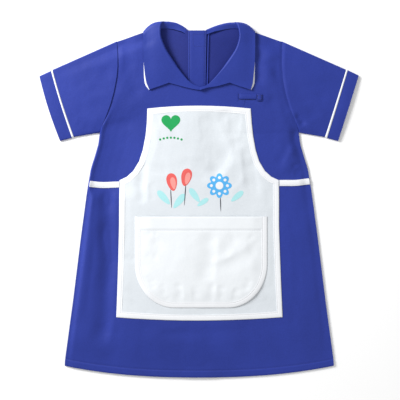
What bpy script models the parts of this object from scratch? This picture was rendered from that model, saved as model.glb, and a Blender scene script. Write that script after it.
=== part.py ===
"""Child's dress-up nurse dress, laid flat on its back with the front up.

Metres, +Z up. The dress lies on the plane z = 0, its neck end towards +Y and its
front towards +Z. The origin is the middle of its footprint. "Left" and "right" are
as seen from above, with the neck end at the top.

The layers, from the surface up: the collar's back fall, the two back panels, the
hook-and-loop patches and the placket band, the front panel, the apron with its
binding and tapes, and the pocket. Flat pieces are cut from their outline on one
shared lattice and draped by height, so that each layer keeps an even gap to the next.
"""

import math

import bmesh
import bpy
from mathutils import Vector

MM = 0.001

# Whole garment
LENGTH = 604 * MM            # top of the collar to the middle of the hem
HEM_SAG = 19.8 * MM          # how far the hem's middle hangs below its corners
HEM_CURVE = 2.35             # 2 is a parabola, more is flatter in the middle
HEM_TURN = 3 * MM            # rounding of the hem's corners
UNDERARM_Y = 114 * MM
SEAM_GAP = 0.3 * MM
MITRE_GAP = 1.4 * SEAM_GAP   # along a mitred corner, so that the strips stay 0.3 mm apart
SLIT = 0.4 * MM              # nearest that a cut may pass a point of an outline
NECK_CORNER = 1 * MM         # cut off the panels where the collar turns over the shoulder

# Cloth
CLOTH = 1.2 * MM             # dress cloth
APRON_CLOTH = 1.0 * MM
TAPE_CLOTH = 1.6 * MM        # folded tapes and bound edges
COLLAR_CLOTH = 1.4 * MM      # two plies
PATCH_CLOTH = 0.8 * MM       # one half of the hook-and-loop closure
BAND_CLOTH = 1.0 * MM        # placket band
EDGING_CLOTH = 0.8 * MM      # collar's white edging
MAX_PUFF = 4.9 * MM          # height of the front's underside where it lies highest
SIDE_RAMP = 45 * MM          # how far from its seams the front reaches that height
TOP_RAMP = 30 * MM           # the same from the shoulders
HEM_RAMP = 70 * MM           # the same from the hem, where it keeps a part of it
HEM_PUFF = 0.35
ARM_PUFF = 0.6               # part of the height kept along the armholes

# Lattice that every flat piece is draped on
STEP_X = 12 * MM
STEP_Y = 24 * MM
LEVEL = 0.0002 * MM          # difference of height that is taken as level
LEVEL_TURN = 0.002           # radians between level faces that may still be joined

# Centre back
BACK_EDGE_LEFT = 10.4 * MM   # centre back edge of the left panel, on top
BACK_EDGE_RIGHT = -12 * MM   # centre back edge of the right panel, below
BAND_X = (-18.7 * MM, 10.1 * MM)
BAND_Y = (150 * MM, 286.2 * MM)
PLACKET_TOP = 286.5 * MM
PLACKET_LEFT = -19.2 * MM    # where the placket's top meets the neck of the left panel
RIGHT_TOP = 278.6 * MM       # top of the right panel at the centre back
PATCH_HALF = 10.5 * MM
PATCH_Y = (259 * MM, 280 * MM)
PATCH_EDGE = 1 * MM          # from the patches to the left panel's edge
OVERLAP_REACH = (20 * MM, 40 * MM)   # the layers there lift what lies above, out to here
PATCH_RAMP = (196 * MM, 40 * MM)     # y and length of the rise towards the patches
BAND_RAMP = (128 * MM, 22 * MM)      # the same below the placket band

# Apron, binding and tapes
APRON_CENTRE = -1 * MM
APRON_BOTTOM_Y = -198.5 * MM
APRON_BOW = 5.5 * MM
APRON_BOTTOM_HALF = 140.4 * MM
BINDING = 9.7 * MM
TAPE_WIDTH = 11.5 * MM
TAPE_Y = 28.3 * MM           # middle of the tapes at the side seams
TAPE_RISE = {"left": -3.6 * MM, "right": -3.9 * MM}   # fall from side seam to apron
TAPE_INNER = 1.0 * MM        # from the apron's corner to the tape
TAPE_OUTER = 0.8 * MM        # from the tape to the side seam

# Pocket
POCKET_CENTRE = 3.2 * MM
POCKET_HALF = 111.7 * MM
POCKET_TOP_Y = -28.1 * MM
POCKET_BOTTOM_Y = -182.3 * MM
POCKET_CORNER = (66 * MM, 74 * MM)
POCKET_PUFF = 2.0 * MM
POCKET_RAMP = 30 * MM        # how far from its seams the pocket reaches that height

# Small tab under the right collar tip
TAB_X = (63 * MM, 96 * MM)
TAB_Y = (169.7 * MM, 179.2 * MM)
TAB_END_X = (96.5 * MM, 106.3 * MM)
TAB_END_Y = (167.6 * MM, 178.4 * MM)

# Side seam: y, half width of the dress there, both mm
SIDE_SEAM = [
    (114, 168.6),
    (94, 171.2),
    (74, 177.0),
    (52, 184.0),
    (13, 190.4),
    (-68, 201.2),
    (-170, 213.8),
    (-272, 227.6),
    (-282.2, 228.0),
]

# Shoulder seam from the neck to its tip: distance from the middle, y, both mm
SHOULDER = [
    (67.0, 289.3),
    (96.0, 283.8),
    (141.5, 268.1),
]

# Armhole seam from shoulder to underarm: y, distance from the middle, both mm
ARMHOLE = [
    (268.1, 141.5),
    (245.0, 139.6),
    (225.0, 139.4),
    (205.0, 141.3),
    (182.0, 145.5),
    (161.0, 151.2),
    (142.0, 158.2),
    (126.0, 165.2),
    (114.0, 168.6),
]

# Lines across the sleeve: top end x, y and bottom end x, y, mm, for a right sleeve
SLEEVE_LINES = {
    "sleeve_end": (248.6, 220.6, 213.9, 106.4),
    "cuff_start": (253.9, 218.6, 219.0, 104.6),
    "cuff_end": (271.0, 210.6, 235.6, 99.8),
}
SLEEVE_EDGE = 3.2 * MM       # height of the flattened sleeve at its two folds
SLEEVE_PUFF = 0.6 * MM       # further rise half way along each stretch of it
CUFF_PUFF = 2.8 * MM
CUFF_BOW = 2.0 * MM          # how far the lines across the sleeve bow out
CUFF_DROP = 0.3              # part of that bow that they sink by
PIPING_PROUD = 0.9 * MM
RING_SHARES = [0.0, 0.03, 0.08, 0.16, 0.27, 0.4, 0.53, 0.66, 0.78, 0.88, 0.95, 1.0]
# Pieces of a sleeve: name, start, end, shares of the way that have a ring, colour, proud
SLEEVE_PARTS = [
    ("sleeve_", "armhole", "sleeve_end", (0.006, 0.25, 0.5, 0.75, 0.997), "blue", 0),
    ("cuff_piping_", "sleeve_end", "cuff_start", (0.03, 0.35, 0.65, 0.95), "white", PIPING_PROUD),
    ("cuff_", "cuff_start", "cuff_end", (0.0, 0.5, 1.0), "blue", 0),
]
FOLD_TURNS = 4               # faces round each fold of a flattened tube

# Edge of the apron from its top corner down to its waist corner: half width, y, mm
APRON_SIDE = [
    (87.6, 154.2),
    (89.2, 128.0),
    (91.6, 108.0),
    (96.4, 84.6),
    (103.0, 65.0),
    (113.0, 49.0),
    (124.0, 39.0),
    (136.6, 33.2),
]
APRON_TOP_Y = 159 * MM
APRON_TOP_DROP = 4.8 * MM    # from the middle of the top edge to its corners

# Collar, one row per section from centre back to centre front, for a left half.
# seam: where it is sewn to the neck, roll: its fold, edge: its free edge, all mm.
# bulge: how far the fall bows out, level: -1 below the back, 1 on the front,
# stand and fall: heights of its two legs beside the roll.
COLLAR = [
    # seam x, y, roll x, y, edge x, y, bulge, level, stand, fall
    ((-20.5, 278.9), (-19.8, 287.4), (-21.5, 241.0), 0.0, -1.0, 4.7, 0.9),
    ((-30.5, 284.2), (-28.0, 293.8), (-45.0, 239.0), 0.0, -1.0, 4.7, 0.9),
    ((-43.0, 288.0), (-38.5, 299.0), (-68.0, 245.0), 0.0, -1.0, 4.8, 0.9),
    ((-54.0, 289.8), (-50.0, 301.2), (-85.0, 260.0), 2.0, -1.0, 5.0, 0.9),
    ((-62.0, 289.8), (-57.5, 301.2), (-93.6, 283.2), 5.0, -1.0, 5.2, 1.6),
    ((-67.0, 289.3), (-61.5, 300.8), (-94.4, 287.6), 6.0, 0.0, 5.6, 4.6),
    ((-70.4, 286.4), (-64.2, 297.0), (-94.6, 283.2), 4.5, 1.0, 6.4, 8.6),
    ((-72.2, 278.0), (-65.6, 288.0), (-94.6, 263.0), 2.0, 1.0, 7.2, 10.8),
    ((-71.5, 270.0), (-65.2, 277.0), (-94.2, 245.0), 0.0, 1.0, 7.6, 11.8),
    ((-68.5, 260.0), (-61.5, 265.0), (-94.0, 228.0), 0.0, 1.0, 7.8, 12.0),
    ((-62.5, 248.5), (-56.0, 253.0), (-92.8, 211.0), 0.0, 1.0, 7.8, 12.0),
    ((-54.8, 236.0), (-48.5, 241.0), (-89.6, 197.0), 0.0, 1.0, 7.8, 11.9),
    ((-48.6, 227.0), (-42.5, 232.0), (-84.2, 186.0), 0.0, 1.0, 7.7, 11.7),
    ((-43.0, 218.8), (-37.0, 223.6), (-68.0, 191.6), 0.0, 1.0, 7.6, 11.5),
    ((-36.8, 211.0), (-31.2, 215.8), (-51.4, 197.6), 0.0, 1.0, 7.5, 11.3),
    ((-26.8, 199.8), (-22.0, 204.4), (-31.0, 192.0), 0.0, 1.0, 7.3, 10.7),
    ((-15.6, 189.8), (-12.0, 194.2), (-14.5, 186.4), 0.0, 1.0, 7.1, 10.2),
    ((-0.4, 184.2), (-0.4, 188.9), (-0.4, 182.6), 0.0, 1.0, 7.0, 10.0),
]
COLLAR_CENTRE_BACK = {"left": 0.0, "right": 8.0}   # mm each half runs past its table
SEAM_END = 0.8 * MM          # from the neck seam to the start of the collar
STAND_RISE = 0.8             # share of the stand over which it rises to its height
COLLAR_CLEAR = 1.5 * MM      # height of the fall over the front panel
FLOOR_CLEAR = 0.1 * MM
COLLAR_STEPS = 2             # sections drawn for each row
FALL_LIFT = 2.1 * MM         # how far the back panels are lifted by the back fall
FALL_START = 2 * MM          # distance from the middle where that lift begins
FALL_END = (128 * MM, 24 * MM)       # where it ends, and over what distance
FALL_RAMP = (180 * MM, 44 * MM)      # y and length of its rise
PIPING_WIDTH = 6 * MM
PIPING_ROWS = (8.6, 12)      # rows of the collar that its white edging runs between
PIPING_STEPS = 8
PIPING_SHOWS = 2.6 * MM

# Largest folds of the front: start x, y, end x, y, width, height, all mm
FRONT_FOLDS = [
    (-169, 13, -174, -110, 11, -2.6),
    (-176, -100, -188, -250, 12, -2.8),
    (-190, 20, -206, -150, 9, 1.2),
    (23, 150, 12, 60, 12, -2.0),
    (52, 150, 76, 100, 12, -1.6),
    (47, 86, 24, 40, 11, -1.5),
    (178, 20, 192, -140, 12, -1.8),
    (88, 66, 97, 10, 10, -1.5),
    (-99, 62, -100, 0, 10, -1.3),
    (60, -215, 75, -290, 14, -1.4),
    (-70, -210, -84, -290, 14, -1.4),
    (-150, 150, -110, 196, 12, -1.2),
    (150, 130, 112, 168, 12, -1.6),
]

# Largest folds of the pocket, in the same form
POCKET_FOLDS = [
    (11, -50, 6, -140, 12, -1.6),
    (14, -96, 58, -62, 11, -1.2),
    (26, -120, 98, -86, 11, -1.2),
    (-60, -60, -88, -120, 12, -1.0),
    (-36, -138, -36, -176, 8, -0.9),
    (36, -138, 38, -176, 8, -0.9),
]

# Colours, linear
BLUE = (0.036, 0.058, 0.292, 1)
BLUE_INSIDE = (0.032, 0.045, 0.250, 1)
WHITE = (0.80, 0.81, 0.83, 1)
POCKET_WHITE = (0.88, 0.89, 0.90, 1)
PATCH_GREY = (0.10, 0.11, 0.20, 1)


def clear_scene():
    for item in list(bpy.data.objects):
        bpy.data.objects.remove(item)


def smooth(value):
    """0 below 0, 1 above 1, and an even ramp with level ends between them."""
    value = min(max(value, 0.0), 1.0)
    return value * value * (3 - 2 * value)


def bump(value):
    """0 at 0 and 1, 1 half way, steep at the ends."""
    value = min(max(value, 0.0), 1.0)
    return (4 * value * (1 - value)) ** 0.6


def row_value(rows, key):
    """Second column at a value of the first, which falls from row to row."""
    if key >= rows[0][0]:
        return rows[0][1]
    for (key_a, value_a), (key_b, value_b) in zip(rows, rows[1:]):
        if key >= key_b:
            share = (key_a - key) / (key_a - key_b)
            return value_a + (value_b - value_a) * share
    return rows[-1][1]


def hem_y(x):
    """The hem's line: an even sag from corner to corner."""
    corner = SIDE_SEAM[-1][1] * MM
    return -LENGTH / 2 + HEM_SAG * (abs(x) / corner) ** HEM_CURVE


def side_x(y):
    """Half width of the body panels: armhole above the underarm, side seam below."""
    if y > UNDERARM_Y:
        return row_value(ARMHOLE, y / MM) * MM
    return row_value(SIDE_SEAM, y / MM) * MM


def shoulder_y(x):
    """Height of the shoulder seam's line at a distance from the middle."""
    (near_x, near_y), (middle_x, middle_y), (tip_x, tip_y) = SHOULDER
    if abs(x) > middle_x * MM:
        near_x, near_y, middle_x, middle_y = middle_x, middle_y, tip_x, tip_y
    slope = (middle_y - near_y) / (middle_x - near_x)
    return near_y * MM + slope * (abs(x) - near_x * MM)


def fold_height(folds, x, y):
    """Sum of the soft troughs and ridges at a point."""
    total = 0.0
    for start_x, start_y, end_x, end_y, width, height in folds:
        start = Vector((start_x * MM, start_y * MM))
        run = Vector((end_x * MM, end_y * MM)) - start
        offset = Vector((x, y)) - start
        along = offset.dot(run) / run.length_squared
        across = (offset - run * along).length / (2 * width * MM)
        ends = smooth(along / 0.3 + 0.5) * smooth((1 - along) / 0.3 + 0.5)
        total += height * MM * max(1 - across * across, 0.0) ** 2 * ends
    return total


def fall_lift(x, y):
    """Lift of the back panels by the collar's back fall under them."""
    across = smooth((abs(x) - FALL_START) / STEP_X) * smooth((FALL_END[0] - abs(x)) / FALL_END[1])
    return FALL_LIFT * across * smooth((y - FALL_RAMP[0]) / FALL_RAMP[1])


def over_overlap(x):
    """1 over the centre back overlap, 0 clear of it."""
    near, far = OVERLAP_REACH
    return smooth((far - abs(x)) / (far - near))


def overlap_lift(x, y):
    """Lift of the left back panel over the right one and over the closure."""
    patches = 2 * (PATCH_CLOTH + SEAM_GAP) * smooth((y - PATCH_RAMP[0]) / PATCH_RAMP[1])
    return (CLOTH + SEAM_GAP + patches) * over_overlap(x)


def back_right_under(x, y):
    return fall_lift(x, y)


def back_left_under(x, y):
    return fall_lift(x, y) + overlap_lift(x, y)


def back_top(x, y):
    """Top of all that lies under the front panel."""
    band = (CLOTH + SEAM_GAP) * over_overlap(x) * smooth((y - BAND_RAMP[0]) / BAND_RAMP[1])
    return back_left_under(x, y) + CLOTH + band


def front_under(x, y):
    """Underside of the front panel: soft in the middle, flat at its seams."""
    reach = side_x(y) - abs(x)
    seam = 0.0
    if y > UNDERARM_Y:
        seam = bump((y - UNDERARM_Y) / (SHOULDER[-1][1] * MM - UNDERARM_Y)) * ARM_PUFF
    body = seam + (1 - seam) * smooth(reach / SIDE_RAMP)
    body *= smooth((shoulder_y(x) - y) / TOP_RAMP)
    body *= HEM_PUFF + (1 - HEM_PUFF) * smooth((y - hem_y(x)) / HEM_RAMP)
    rise = MAX_PUFF + fall_lift(x, y) * smooth((y - FALL_RAMP[0]) / FALL_RAMP[1])
    return max(back_top(x, y) + SEAM_GAP, rise * body + fold_height(FRONT_FOLDS, x, y) * body)


def apron_under(x, y):
    return on_lattice(front_under, x, y) + CLOTH + SEAM_GAP


def pocket_under(x, y):
    inside = POCKET_HALF - abs(x - POCKET_CENTRE)
    seam = smooth(inside / POCKET_RAMP) * smooth((y - POCKET_BOTTOM_Y) / POCKET_RAMP)
    puff = max(POCKET_PUFF + fold_height(POCKET_FOLDS, x, y), 0.0)
    return apron_under(x, y) + APRON_CLOTH + SEAM_GAP + puff * seam


LATTICE = {}


def on_lattice(height, x, y):
    """Height read from the flat triangles between the lattice's crossings."""
    column = math.floor(x / STEP_X)
    line = math.floor(y / STEP_Y)
    corners = []
    for step_x, step_y in ((0, 0), (1, 0), (0, 1), (1, 1)):
        key = (height.__name__, column + step_x, line + step_y)
        if key not in LATTICE:
            LATTICE[key] = height(key[1] * STEP_X, key[2] * STEP_Y)
        corners.append(LATTICE[key])
    near, right, up, far = corners
    share_x = x / STEP_X - column
    share_y = y / STEP_Y - line
    if share_x >= share_y:
        return near + (right - near) * share_x + (far - right) * share_y
    return near + (far - up) * share_x + (up - near) * share_y


def make_material(name, colour, roughness):
    material = bpy.data.materials.new(name)
    material.use_nodes = True
    shader = material.node_tree.nodes["Principled BSDF"]
    shader.inputs["Base Color"].default_value = colour
    shader.inputs["Roughness"].default_value = roughness
    shader.inputs["Metallic"].default_value = 0.0
    return material


def add_object(name, bm, colour, roughness):
    mesh = bpy.data.meshes.new(name)
    bm.to_mesh(mesh)
    bm.free()
    piece = bpy.data.objects.new(name, mesh)
    mesh.materials.append(make_material(name, colour, roughness))
    DRESS.objects.link(piece)
    return piece


def cut_on_lattice(bm):
    """Cuts flat cloth along the lattice's columns, lines and diagonals."""
    xs = [vert.co.x for vert in bm.verts]
    ys = [vert.co.y for vert in bm.verts]
    first_x, last_x = math.floor(min(xs) / STEP_X), math.ceil(max(xs) / STEP_X)
    first_y, last_y = math.floor(min(ys) / STEP_Y), math.ceil(max(ys) / STEP_Y)
    cuts = [(Vector((k * STEP_X, 0, 0)), Vector((1, 0, 0))) for k in range(first_x, last_x + 1)]
    cuts += [(Vector((0, k * STEP_Y, 0)), Vector((0, 1, 0))) for k in range(first_y, last_y + 1)]
    diagonal = Vector((STEP_Y, -STEP_X, 0)).normalized()
    for k in range(first_x - last_y, last_x - first_y + 1):
        cuts.append((Vector((k * STEP_X, 0, 0)), diagonal))
    for place, normal in cuts:
        geometry = bm.verts[:] + bm.edges[:] + bm.faces[:]
        bmesh.ops.bisect_plane(bm, geom=geometry, plane_co=place, plane_no=normal, dist=SLIT)


def join_level_faces(bm):
    """Joins neighbouring faces where the cloth lies level, and leaves its slopes alone."""
    for edge in bm.edges:
        heights = [vert.co.z for face in edge.link_faces for vert in face.verts]
        edge.seam = max(heights) - min(heights) > LEVEL
    geometry = {"verts": bm.verts[:], "edges": bm.edges[:]}
    bmesh.ops.dissolve_limit(bm, angle_limit=LEVEL_TURN, delimit={"SEAM"}, **geometry)


def cut_piece(name, outline, under, thickness, colour, roughness=0.75):
    """A flat piece of cloth: its outline cut, draped at a height and given its wall."""
    bm = bmesh.new()
    bm.faces.new([bm.verts.new((x, y, 0)) for x, y in outline])
    cut_on_lattice(bm)
    for vert in bm.verts:
        vert.co.z = on_lattice(under, vert.co.x, vert.co.y)
    join_level_faces(bm)
    raised = bmesh.ops.extrude_face_region(bm, geom=bm.faces[:], use_keep_orig=True)
    top = [item for item in raised["geom"] if isinstance(item, bmesh.types.BMVert)]
    bmesh.ops.translate(bm, verts=top, vec=(0, 0, thickness))
    bmesh.ops.recalc_face_normals(bm, faces=bm.faces[:])
    return add_object(name, bm, colour, roughness)


def mirrored(points):
    return [(-x, y) for x, y in reversed(points)]


def moved_in(points, distance):
    """An open line of points moved square to itself, to its left, with mitred corners."""
    runs = [(Vector(b) - Vector(a)).normalized() for a, b in zip(points, points[1:])]
    moved = []
    for index, (x, y) in enumerate(points):
        before = runs[max(index - 1, 0)]
        after = runs[min(index, len(runs) - 1)]
        middle = (before + after).normalized()
        reach = distance / middle.dot(after)
        moved.append((x - middle.y * reach, y + middle.x * reach))
    return moved


def collar_rows(side):
    """The collar's table with the centre back end moved to where this half stops."""
    rows = []
    for index, row in enumerate(COLLAR):
        shift = COLLAR_CENTRE_BACK[side] * max(0.0, 1 - index / 2)
        points = [(x + shift, y) for x, y in row[:3]]
        rows.append((*points, *row[3:]))
    return rows


def neck_line(side, first, last):
    """Neck seam of the panels from one collar row to another, right of the middle."""
    line = [(-x * MM, y * MM) for (x, y), *_ in collar_rows(side)[first:last + 1]]
    return line


def armhole_line():
    return [(x * MM, y * MM) for y, x in ARMHOLE]


def shoulder_bend():
    return (SHOULDER[1][0] * MM, SHOULDER[1][1] * MM)


def side_line():
    return [(x * MM, y * MM) for y, x in SIDE_SEAM[1:]]


def hem_line(start_x, end_x, pieces):
    """Points of the hem between two places across the dress."""
    xs = [start_x + (end_x - start_x) * k / pieces for k in range(pieces + 1)]
    return [(x, hem_y(x)) for x in xs]


def make_front():
    neck = moved_in(neck_line("left", 7, len(COLLAR) - 1), SEAM_GAP)[::-1]
    neck.append((neck[-1][0] + NECK_CORNER, shoulder_y(neck[-1][0] + NECK_CORNER)))
    armhole = moved_in(armhole_line(), -SEAM_GAP)
    armhole[0] = (armhole[0][0], shoulder_y(armhole[0][0]))
    corner = SIDE_SEAM[-1][1] * MM - HEM_TURN
    hem = hem_line(corner, 20 * MM, 9)
    half = neck[1:] + [shoulder_bend()] + armhole + side_line() + hem
    outline = [(0, neck[0][1])] + half + [(0, hem_y(0))] + mirrored(half)
    cut_piece("front", outline, front_under, CLOTH, BLUE)


def back_half(side):
    """Outline of a back panel right of the middle, from its neck to the hem's middle."""
    neck = moved_in(neck_line(side, 0, 5), -SEAM_GAP)
    neck[-1] = (neck[-1][0], neck[-1][1] - NECK_CORNER / 2)
    armhole = moved_in(armhole_line(), -SEAM_GAP)
    corner = SIDE_SEAM[-1][1] * MM - HEM_TURN
    hem = hem_line(corner, 30 * MM, 6)
    return neck + [shoulder_bend()] + armhole + side_line() + hem


def make_backs():
    left = mirrored(back_half("left"))
    left += [(PLACKET_LEFT, left[-1][1]), (PLACKET_LEFT, PLACKET_TOP)]
    left += [(BACK_EDGE_LEFT, PLACKET_TOP)]
    left += [(BACK_EDGE_LEFT, hem_y(BACK_EDGE_LEFT))]
    cut_piece("back_left", left, back_left_under, CLOTH, BLUE_INSIDE)
    right = back_half("right")
    right += [(BACK_EDGE_RIGHT, hem_y(BACK_EDGE_RIGHT)), (BACK_EDGE_RIGHT, RIGHT_TOP)]
    cut_piece("back_right", right, back_right_under, CLOTH, BLUE_INSIDE)


def rectangle(x_range, y_range):
    (x_0, x_1), (y_0, y_1) = x_range, y_range
    return [(x_0, y_0), (x_1, y_0), (x_1, y_1), (x_0, y_1)]


def make_closure():
    """Hook-and-loop patches between the back panels, and the band sewn along the edge."""
    def loop_under(x, y):
        return on_lattice(back_right_under, x, y) + CLOTH + SEAM_GAP

    def hook_under(x, y):
        return loop_under(x, y) + PATCH_CLOTH + SEAM_GAP

    def band_under(x, y):
        return on_lattice(back_left_under, x, y) + CLOTH + SEAM_GAP

    square = rectangle((-PATCH_HALF, BACK_EDGE_LEFT - PATCH_EDGE), PATCH_Y)
    cut_piece("loop_patch", square, loop_under, PATCH_CLOTH, PATCH_GREY, 0.95)
    cut_piece("hook_patch", square, hook_under, PATCH_CLOTH, PATCH_GREY, 0.95)
    band = rectangle(BAND_X, BAND_Y)
    cut_piece("back_placket_band", band, band_under, BAND_CLOTH, BLUE_INSIDE)


def apron_outline(inset):
    """Half of the apron's edge right of its middle, from top centre to bottom centre."""
    side = [(x * MM, y * MM) for x, y in APRON_SIDE]
    side.append((APRON_BOTTOM_HALF, APRON_BOTTOM_Y))
    side = moved_in(side, -inset)
    top = []
    for share in (0.0, 0.25, 0.5, 0.75):
        x = side[0][0] * share
        top.append((x, APRON_TOP_Y - APRON_TOP_DROP * (share ** 2) - inset))
    corner_x = side[-1][0]
    bottom = []
    for share in (1.0, 0.8, 0.6, 0.4, 0.2, 0.0):
        bow = APRON_BOW * (1 - share ** 2)
        bottom.append((corner_x * share, APRON_BOTTOM_Y - bow + inset))
    side[0] = (side[0][0], APRON_TOP_Y - APRON_TOP_DROP - inset)
    return top, side[:-1], bottom


def shifted(points, distance):
    return [(x + distance, y) for x, y in points]


def make_apron():
    top, side, bottom = apron_outline(BINDING + SEAM_GAP)
    half = top[1:] + side + bottom[:-1]
    panel = [top[0]] + half + [bottom[-1]] + mirrored(half)
    cut_piece("apron", shifted(panel, APRON_CENTRE), apron_under, APRON_CLOTH, WHITE, 0.8)

    top_out, side_out, bottom_out = apron_outline(0.0)
    top_in, side_in, bottom_in = apron_outline(BINDING)
    outer = top_out[1:] + [side_out[0]]
    inner = top_in[1:] + [side_in[0]]
    strip = mirrored(outer) + [top_out[0]] + outer
    strip += (mirrored(inner) + [top_in[0]] + inner)[::-1]
    cut_piece("apron_binding_top", shifted(strip, APRON_CENTRE), apron_under, TAPE_CLOTH, WHITE)
    outer = bottom_out[::-1]
    inner = bottom_in[::-1]
    strip = mirrored(outer[1:]) + outer + (mirrored(inner[1:]) + inner)[::-1]
    cut_piece("apron_binding_bottom", shifted(strip, APRON_CENTRE), apron_under, TAPE_CLOTH, WHITE)

    outer = side_out + [bottom_out[0]]
    inner = side_in + [bottom_in[0]]
    outer[0] = (outer[0][0], outer[0][1] - MITRE_GAP)
    inner[0] = (inner[0][0], inner[0][1] - MITRE_GAP)
    outer[-1] = (outer[-1][0], outer[-1][1] + MITRE_GAP)
    inner[-1] = (inner[-1][0], inner[-1][1] + MITRE_GAP)
    strip = outer + inner[::-1]
    for side_name, points in (("right", strip), ("left", mirrored(strip))):
        name = "apron_binding_" + side_name
        cut_piece(name, shifted(points, APRON_CENTRE), apron_under, TAPE_CLOTH, WHITE)


def make_tapes():
    """White tapes from the apron's waist corners to the side seams."""
    corner = APRON_SIDE[-1][0] * MM
    for side, sign in (("left", -1), ("right", 1)):
        inner_x = corner + sign * APRON_CENTRE + TAPE_INNER
        outer_x = side_x(TAPE_Y) - TAPE_OUTER
        fall = TAPE_RISE[side]
        corners = [
            (sign * inner_x, TAPE_Y + fall - TAPE_WIDTH / 2),
            (sign * outer_x, TAPE_Y - TAPE_WIDTH / 2),
            (sign * outer_x, TAPE_Y + TAPE_WIDTH / 2),
            (sign * inner_x, TAPE_Y + fall + TAPE_WIDTH / 2),
        ]
        cut_piece("waist_tape_" + side, corners, apron_under, TAPE_CLOTH, WHITE)


def pocket_edge(inset):
    """Pocket's edge right of its middle, from its top corner to its bottom centre."""
    width = POCKET_CORNER[0] - inset
    height = POCKET_CORNER[1] - inset
    centre_x = POCKET_HALF - POCKET_CORNER[0]
    centre_y = POCKET_BOTTOM_Y + POCKET_CORNER[1]
    points = [(POCKET_HALF - inset, POCKET_TOP_Y)]
    for step in range(9):
        angle = math.pi / 2 * step / 8
        points.append((centre_x + width * math.cos(angle), centre_y - height * math.sin(angle)))
    return points


def make_pocket():
    inner = pocket_edge(BINDING + SEAM_GAP)
    panel = shifted(inner + mirrored(inner), POCKET_CENTRE)
    cut_piece("pocket", panel, pocket_under, APRON_CLOTH, POCKET_WHITE, 0.8)
    outer = pocket_edge(0.0)
    inner = pocket_edge(BINDING)
    strip = outer + mirrored(outer) + (inner + mirrored(inner))[::-1]
    strip = shifted(strip, POCKET_CENTRE)
    cut_piece("pocket_binding", strip, pocket_under, TAPE_CLOTH, POCKET_WHITE)


def make_tab():
    cut_piece("badge_tab", rectangle(TAB_X, TAB_Y), apron_under, CLOTH, BLUE)
    cut_piece("badge_tab_end", rectangle(TAB_END_X, TAB_END_Y), apron_under, TAPE_CLOTH, BLUE)


def add_wall(piece, thickness, offset):
    wall = piece.modifiers.new("wall", "SOLIDIFY")
    wall.thickness = thickness
    wall.offset = offset
    wall.use_even_offset = True


def loft(rows, closed):
    """Quads between rows of points with the same number in each."""
    bm = bmesh.new()
    rings = [[bm.verts.new(point) for point in row] for row in rows]
    count = len(rings[0])
    for ring_a, ring_b in zip(rings, rings[1:]):
        for k in range(count if closed else count - 1):
            after = (k + 1) % count
            bm.faces.new((ring_a[k], ring_a[after], ring_b[after], ring_b[k]))
    return bm


def cross_line(name, share):
    """Point on a named line across a right sleeve, from its top fold to its bottom one."""
    if name == "armhole":
        top_y, bottom_y = SHOULDER[-1][1] * MM, UNDERARM_Y
        y = top_y + (bottom_y - top_y) * share
        return Vector((side_x(y) if share < 1 else ARMHOLE[-1][1] * MM, y))
    top_x, top_y, bottom_x, bottom_y = (value * MM for value in SLEEVE_LINES[name])
    bow = CUFF_BOW * math.sin(math.pi * share)
    straight = Vector((top_x, top_y)).lerp(Vector((bottom_x, bottom_y)), share)
    return straight + Vector((bow, -bow * CUFF_DROP))


def top_height(name, point, share):
    """Outer height of the sleeve's front over a named line."""
    if name == "armhole":
        seam = on_lattice(front_under, point.x - SEAM_GAP, point.y) + CLOTH
        return max(seam, SLEEVE_EDGE)
    return SLEEVE_EDGE + CUFF_PUFF * bump(share)


def sleeve_ring(start, end, along, proud=0.0):
    """Closed section of the flattened sleeve at a share of the way between two lines."""
    radius = SLEEVE_EDGE / 2
    plan, heights = [], []
    for share in RING_SHARES:
        point_a, point_b = cross_line(start, share), cross_line(end, share)
        plan.append(point_a.lerp(point_b, along))
        height_a = top_height(start, point_a, share)
        height_b = top_height(end, point_b, share)
        swell = SLEEVE_PUFF * math.sin(math.pi * along) * bump(share)
        heights.append(height_a + (height_b - height_a) * along + swell)
    across = (plan[-1] - plan[0]).normalized()
    plan[0] += across * (radius - proud)
    plan[-1] -= across * (radius - proud)
    ring = []
    for centre, turn in ((plan[0], -1), (plan[-1], 1)):
        for step in range(1, FOLD_TURNS):
            angle = math.pi * step / FOLD_TURNS
            out = centre + across * turn * radius * math.sin(angle)
            height = radius + turn * radius * math.cos(angle)
            ring.append((out.x, out.y, height))
        side = list(zip(plan, heights)) if turn < 0 else list(zip(plan, heights))[::-1]
        for point, height in side:
            level = height + proud if turn < 0 else 0.0
            ring.append((point.x, point.y, level))
    return ring


def sleeve_piece(name, start, end, stops, colour, sign, proud):
    """A stretch of the sleeve's tube, with rings at shares of the way along it."""
    rings = []
    for stop in stops:
        swell = proud if stops[0] < stop < stops[-1] else 0.0
        rings.append([(x * sign, y, z) for x, y, z in sleeve_ring(start, end, stop, swell)])
    bm = loft(rings, closed=True)
    bmesh.ops.recalc_face_normals(bm, faces=bm.faces[:])
    piece = add_object(name, bm, colour, 0.75)
    add_wall(piece, CLOTH, -1)


def make_sleeves():
    for side, sign in (("left", -1), ("right", 1)):
        for prefix, start, end, stops, shade, proud in SLEEVE_PARTS:
            colour = WHITE if shade == "white" else BLUE
            sleeve_piece(prefix + side, start, end, stops, colour, sign, proud)


def curve_value(values, position):
    """Smooth value through a list of numbers or vectors, at a position in rows."""
    last = len(values) - 1
    index = min(int(position), last - 1)
    share = position - index
    before = values[max(index - 1, 0)]
    start, end = values[index], values[index + 1]
    after = values[min(index + 2, last)]
    bend = (end - before) * share
    straight = start * 2 + bend
    square = (before * 2 - start * 5 + end * 4 - after) * share ** 2
    cube = (start * 3 - before - end * 3 + after) * share ** 3
    return (straight + square + cube) * 0.5


def straight_value(values, position):
    index = min(int(position), len(values) - 2)
    share = position - index
    return values[index] * (1 - share) + values[index + 1] * share


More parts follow.
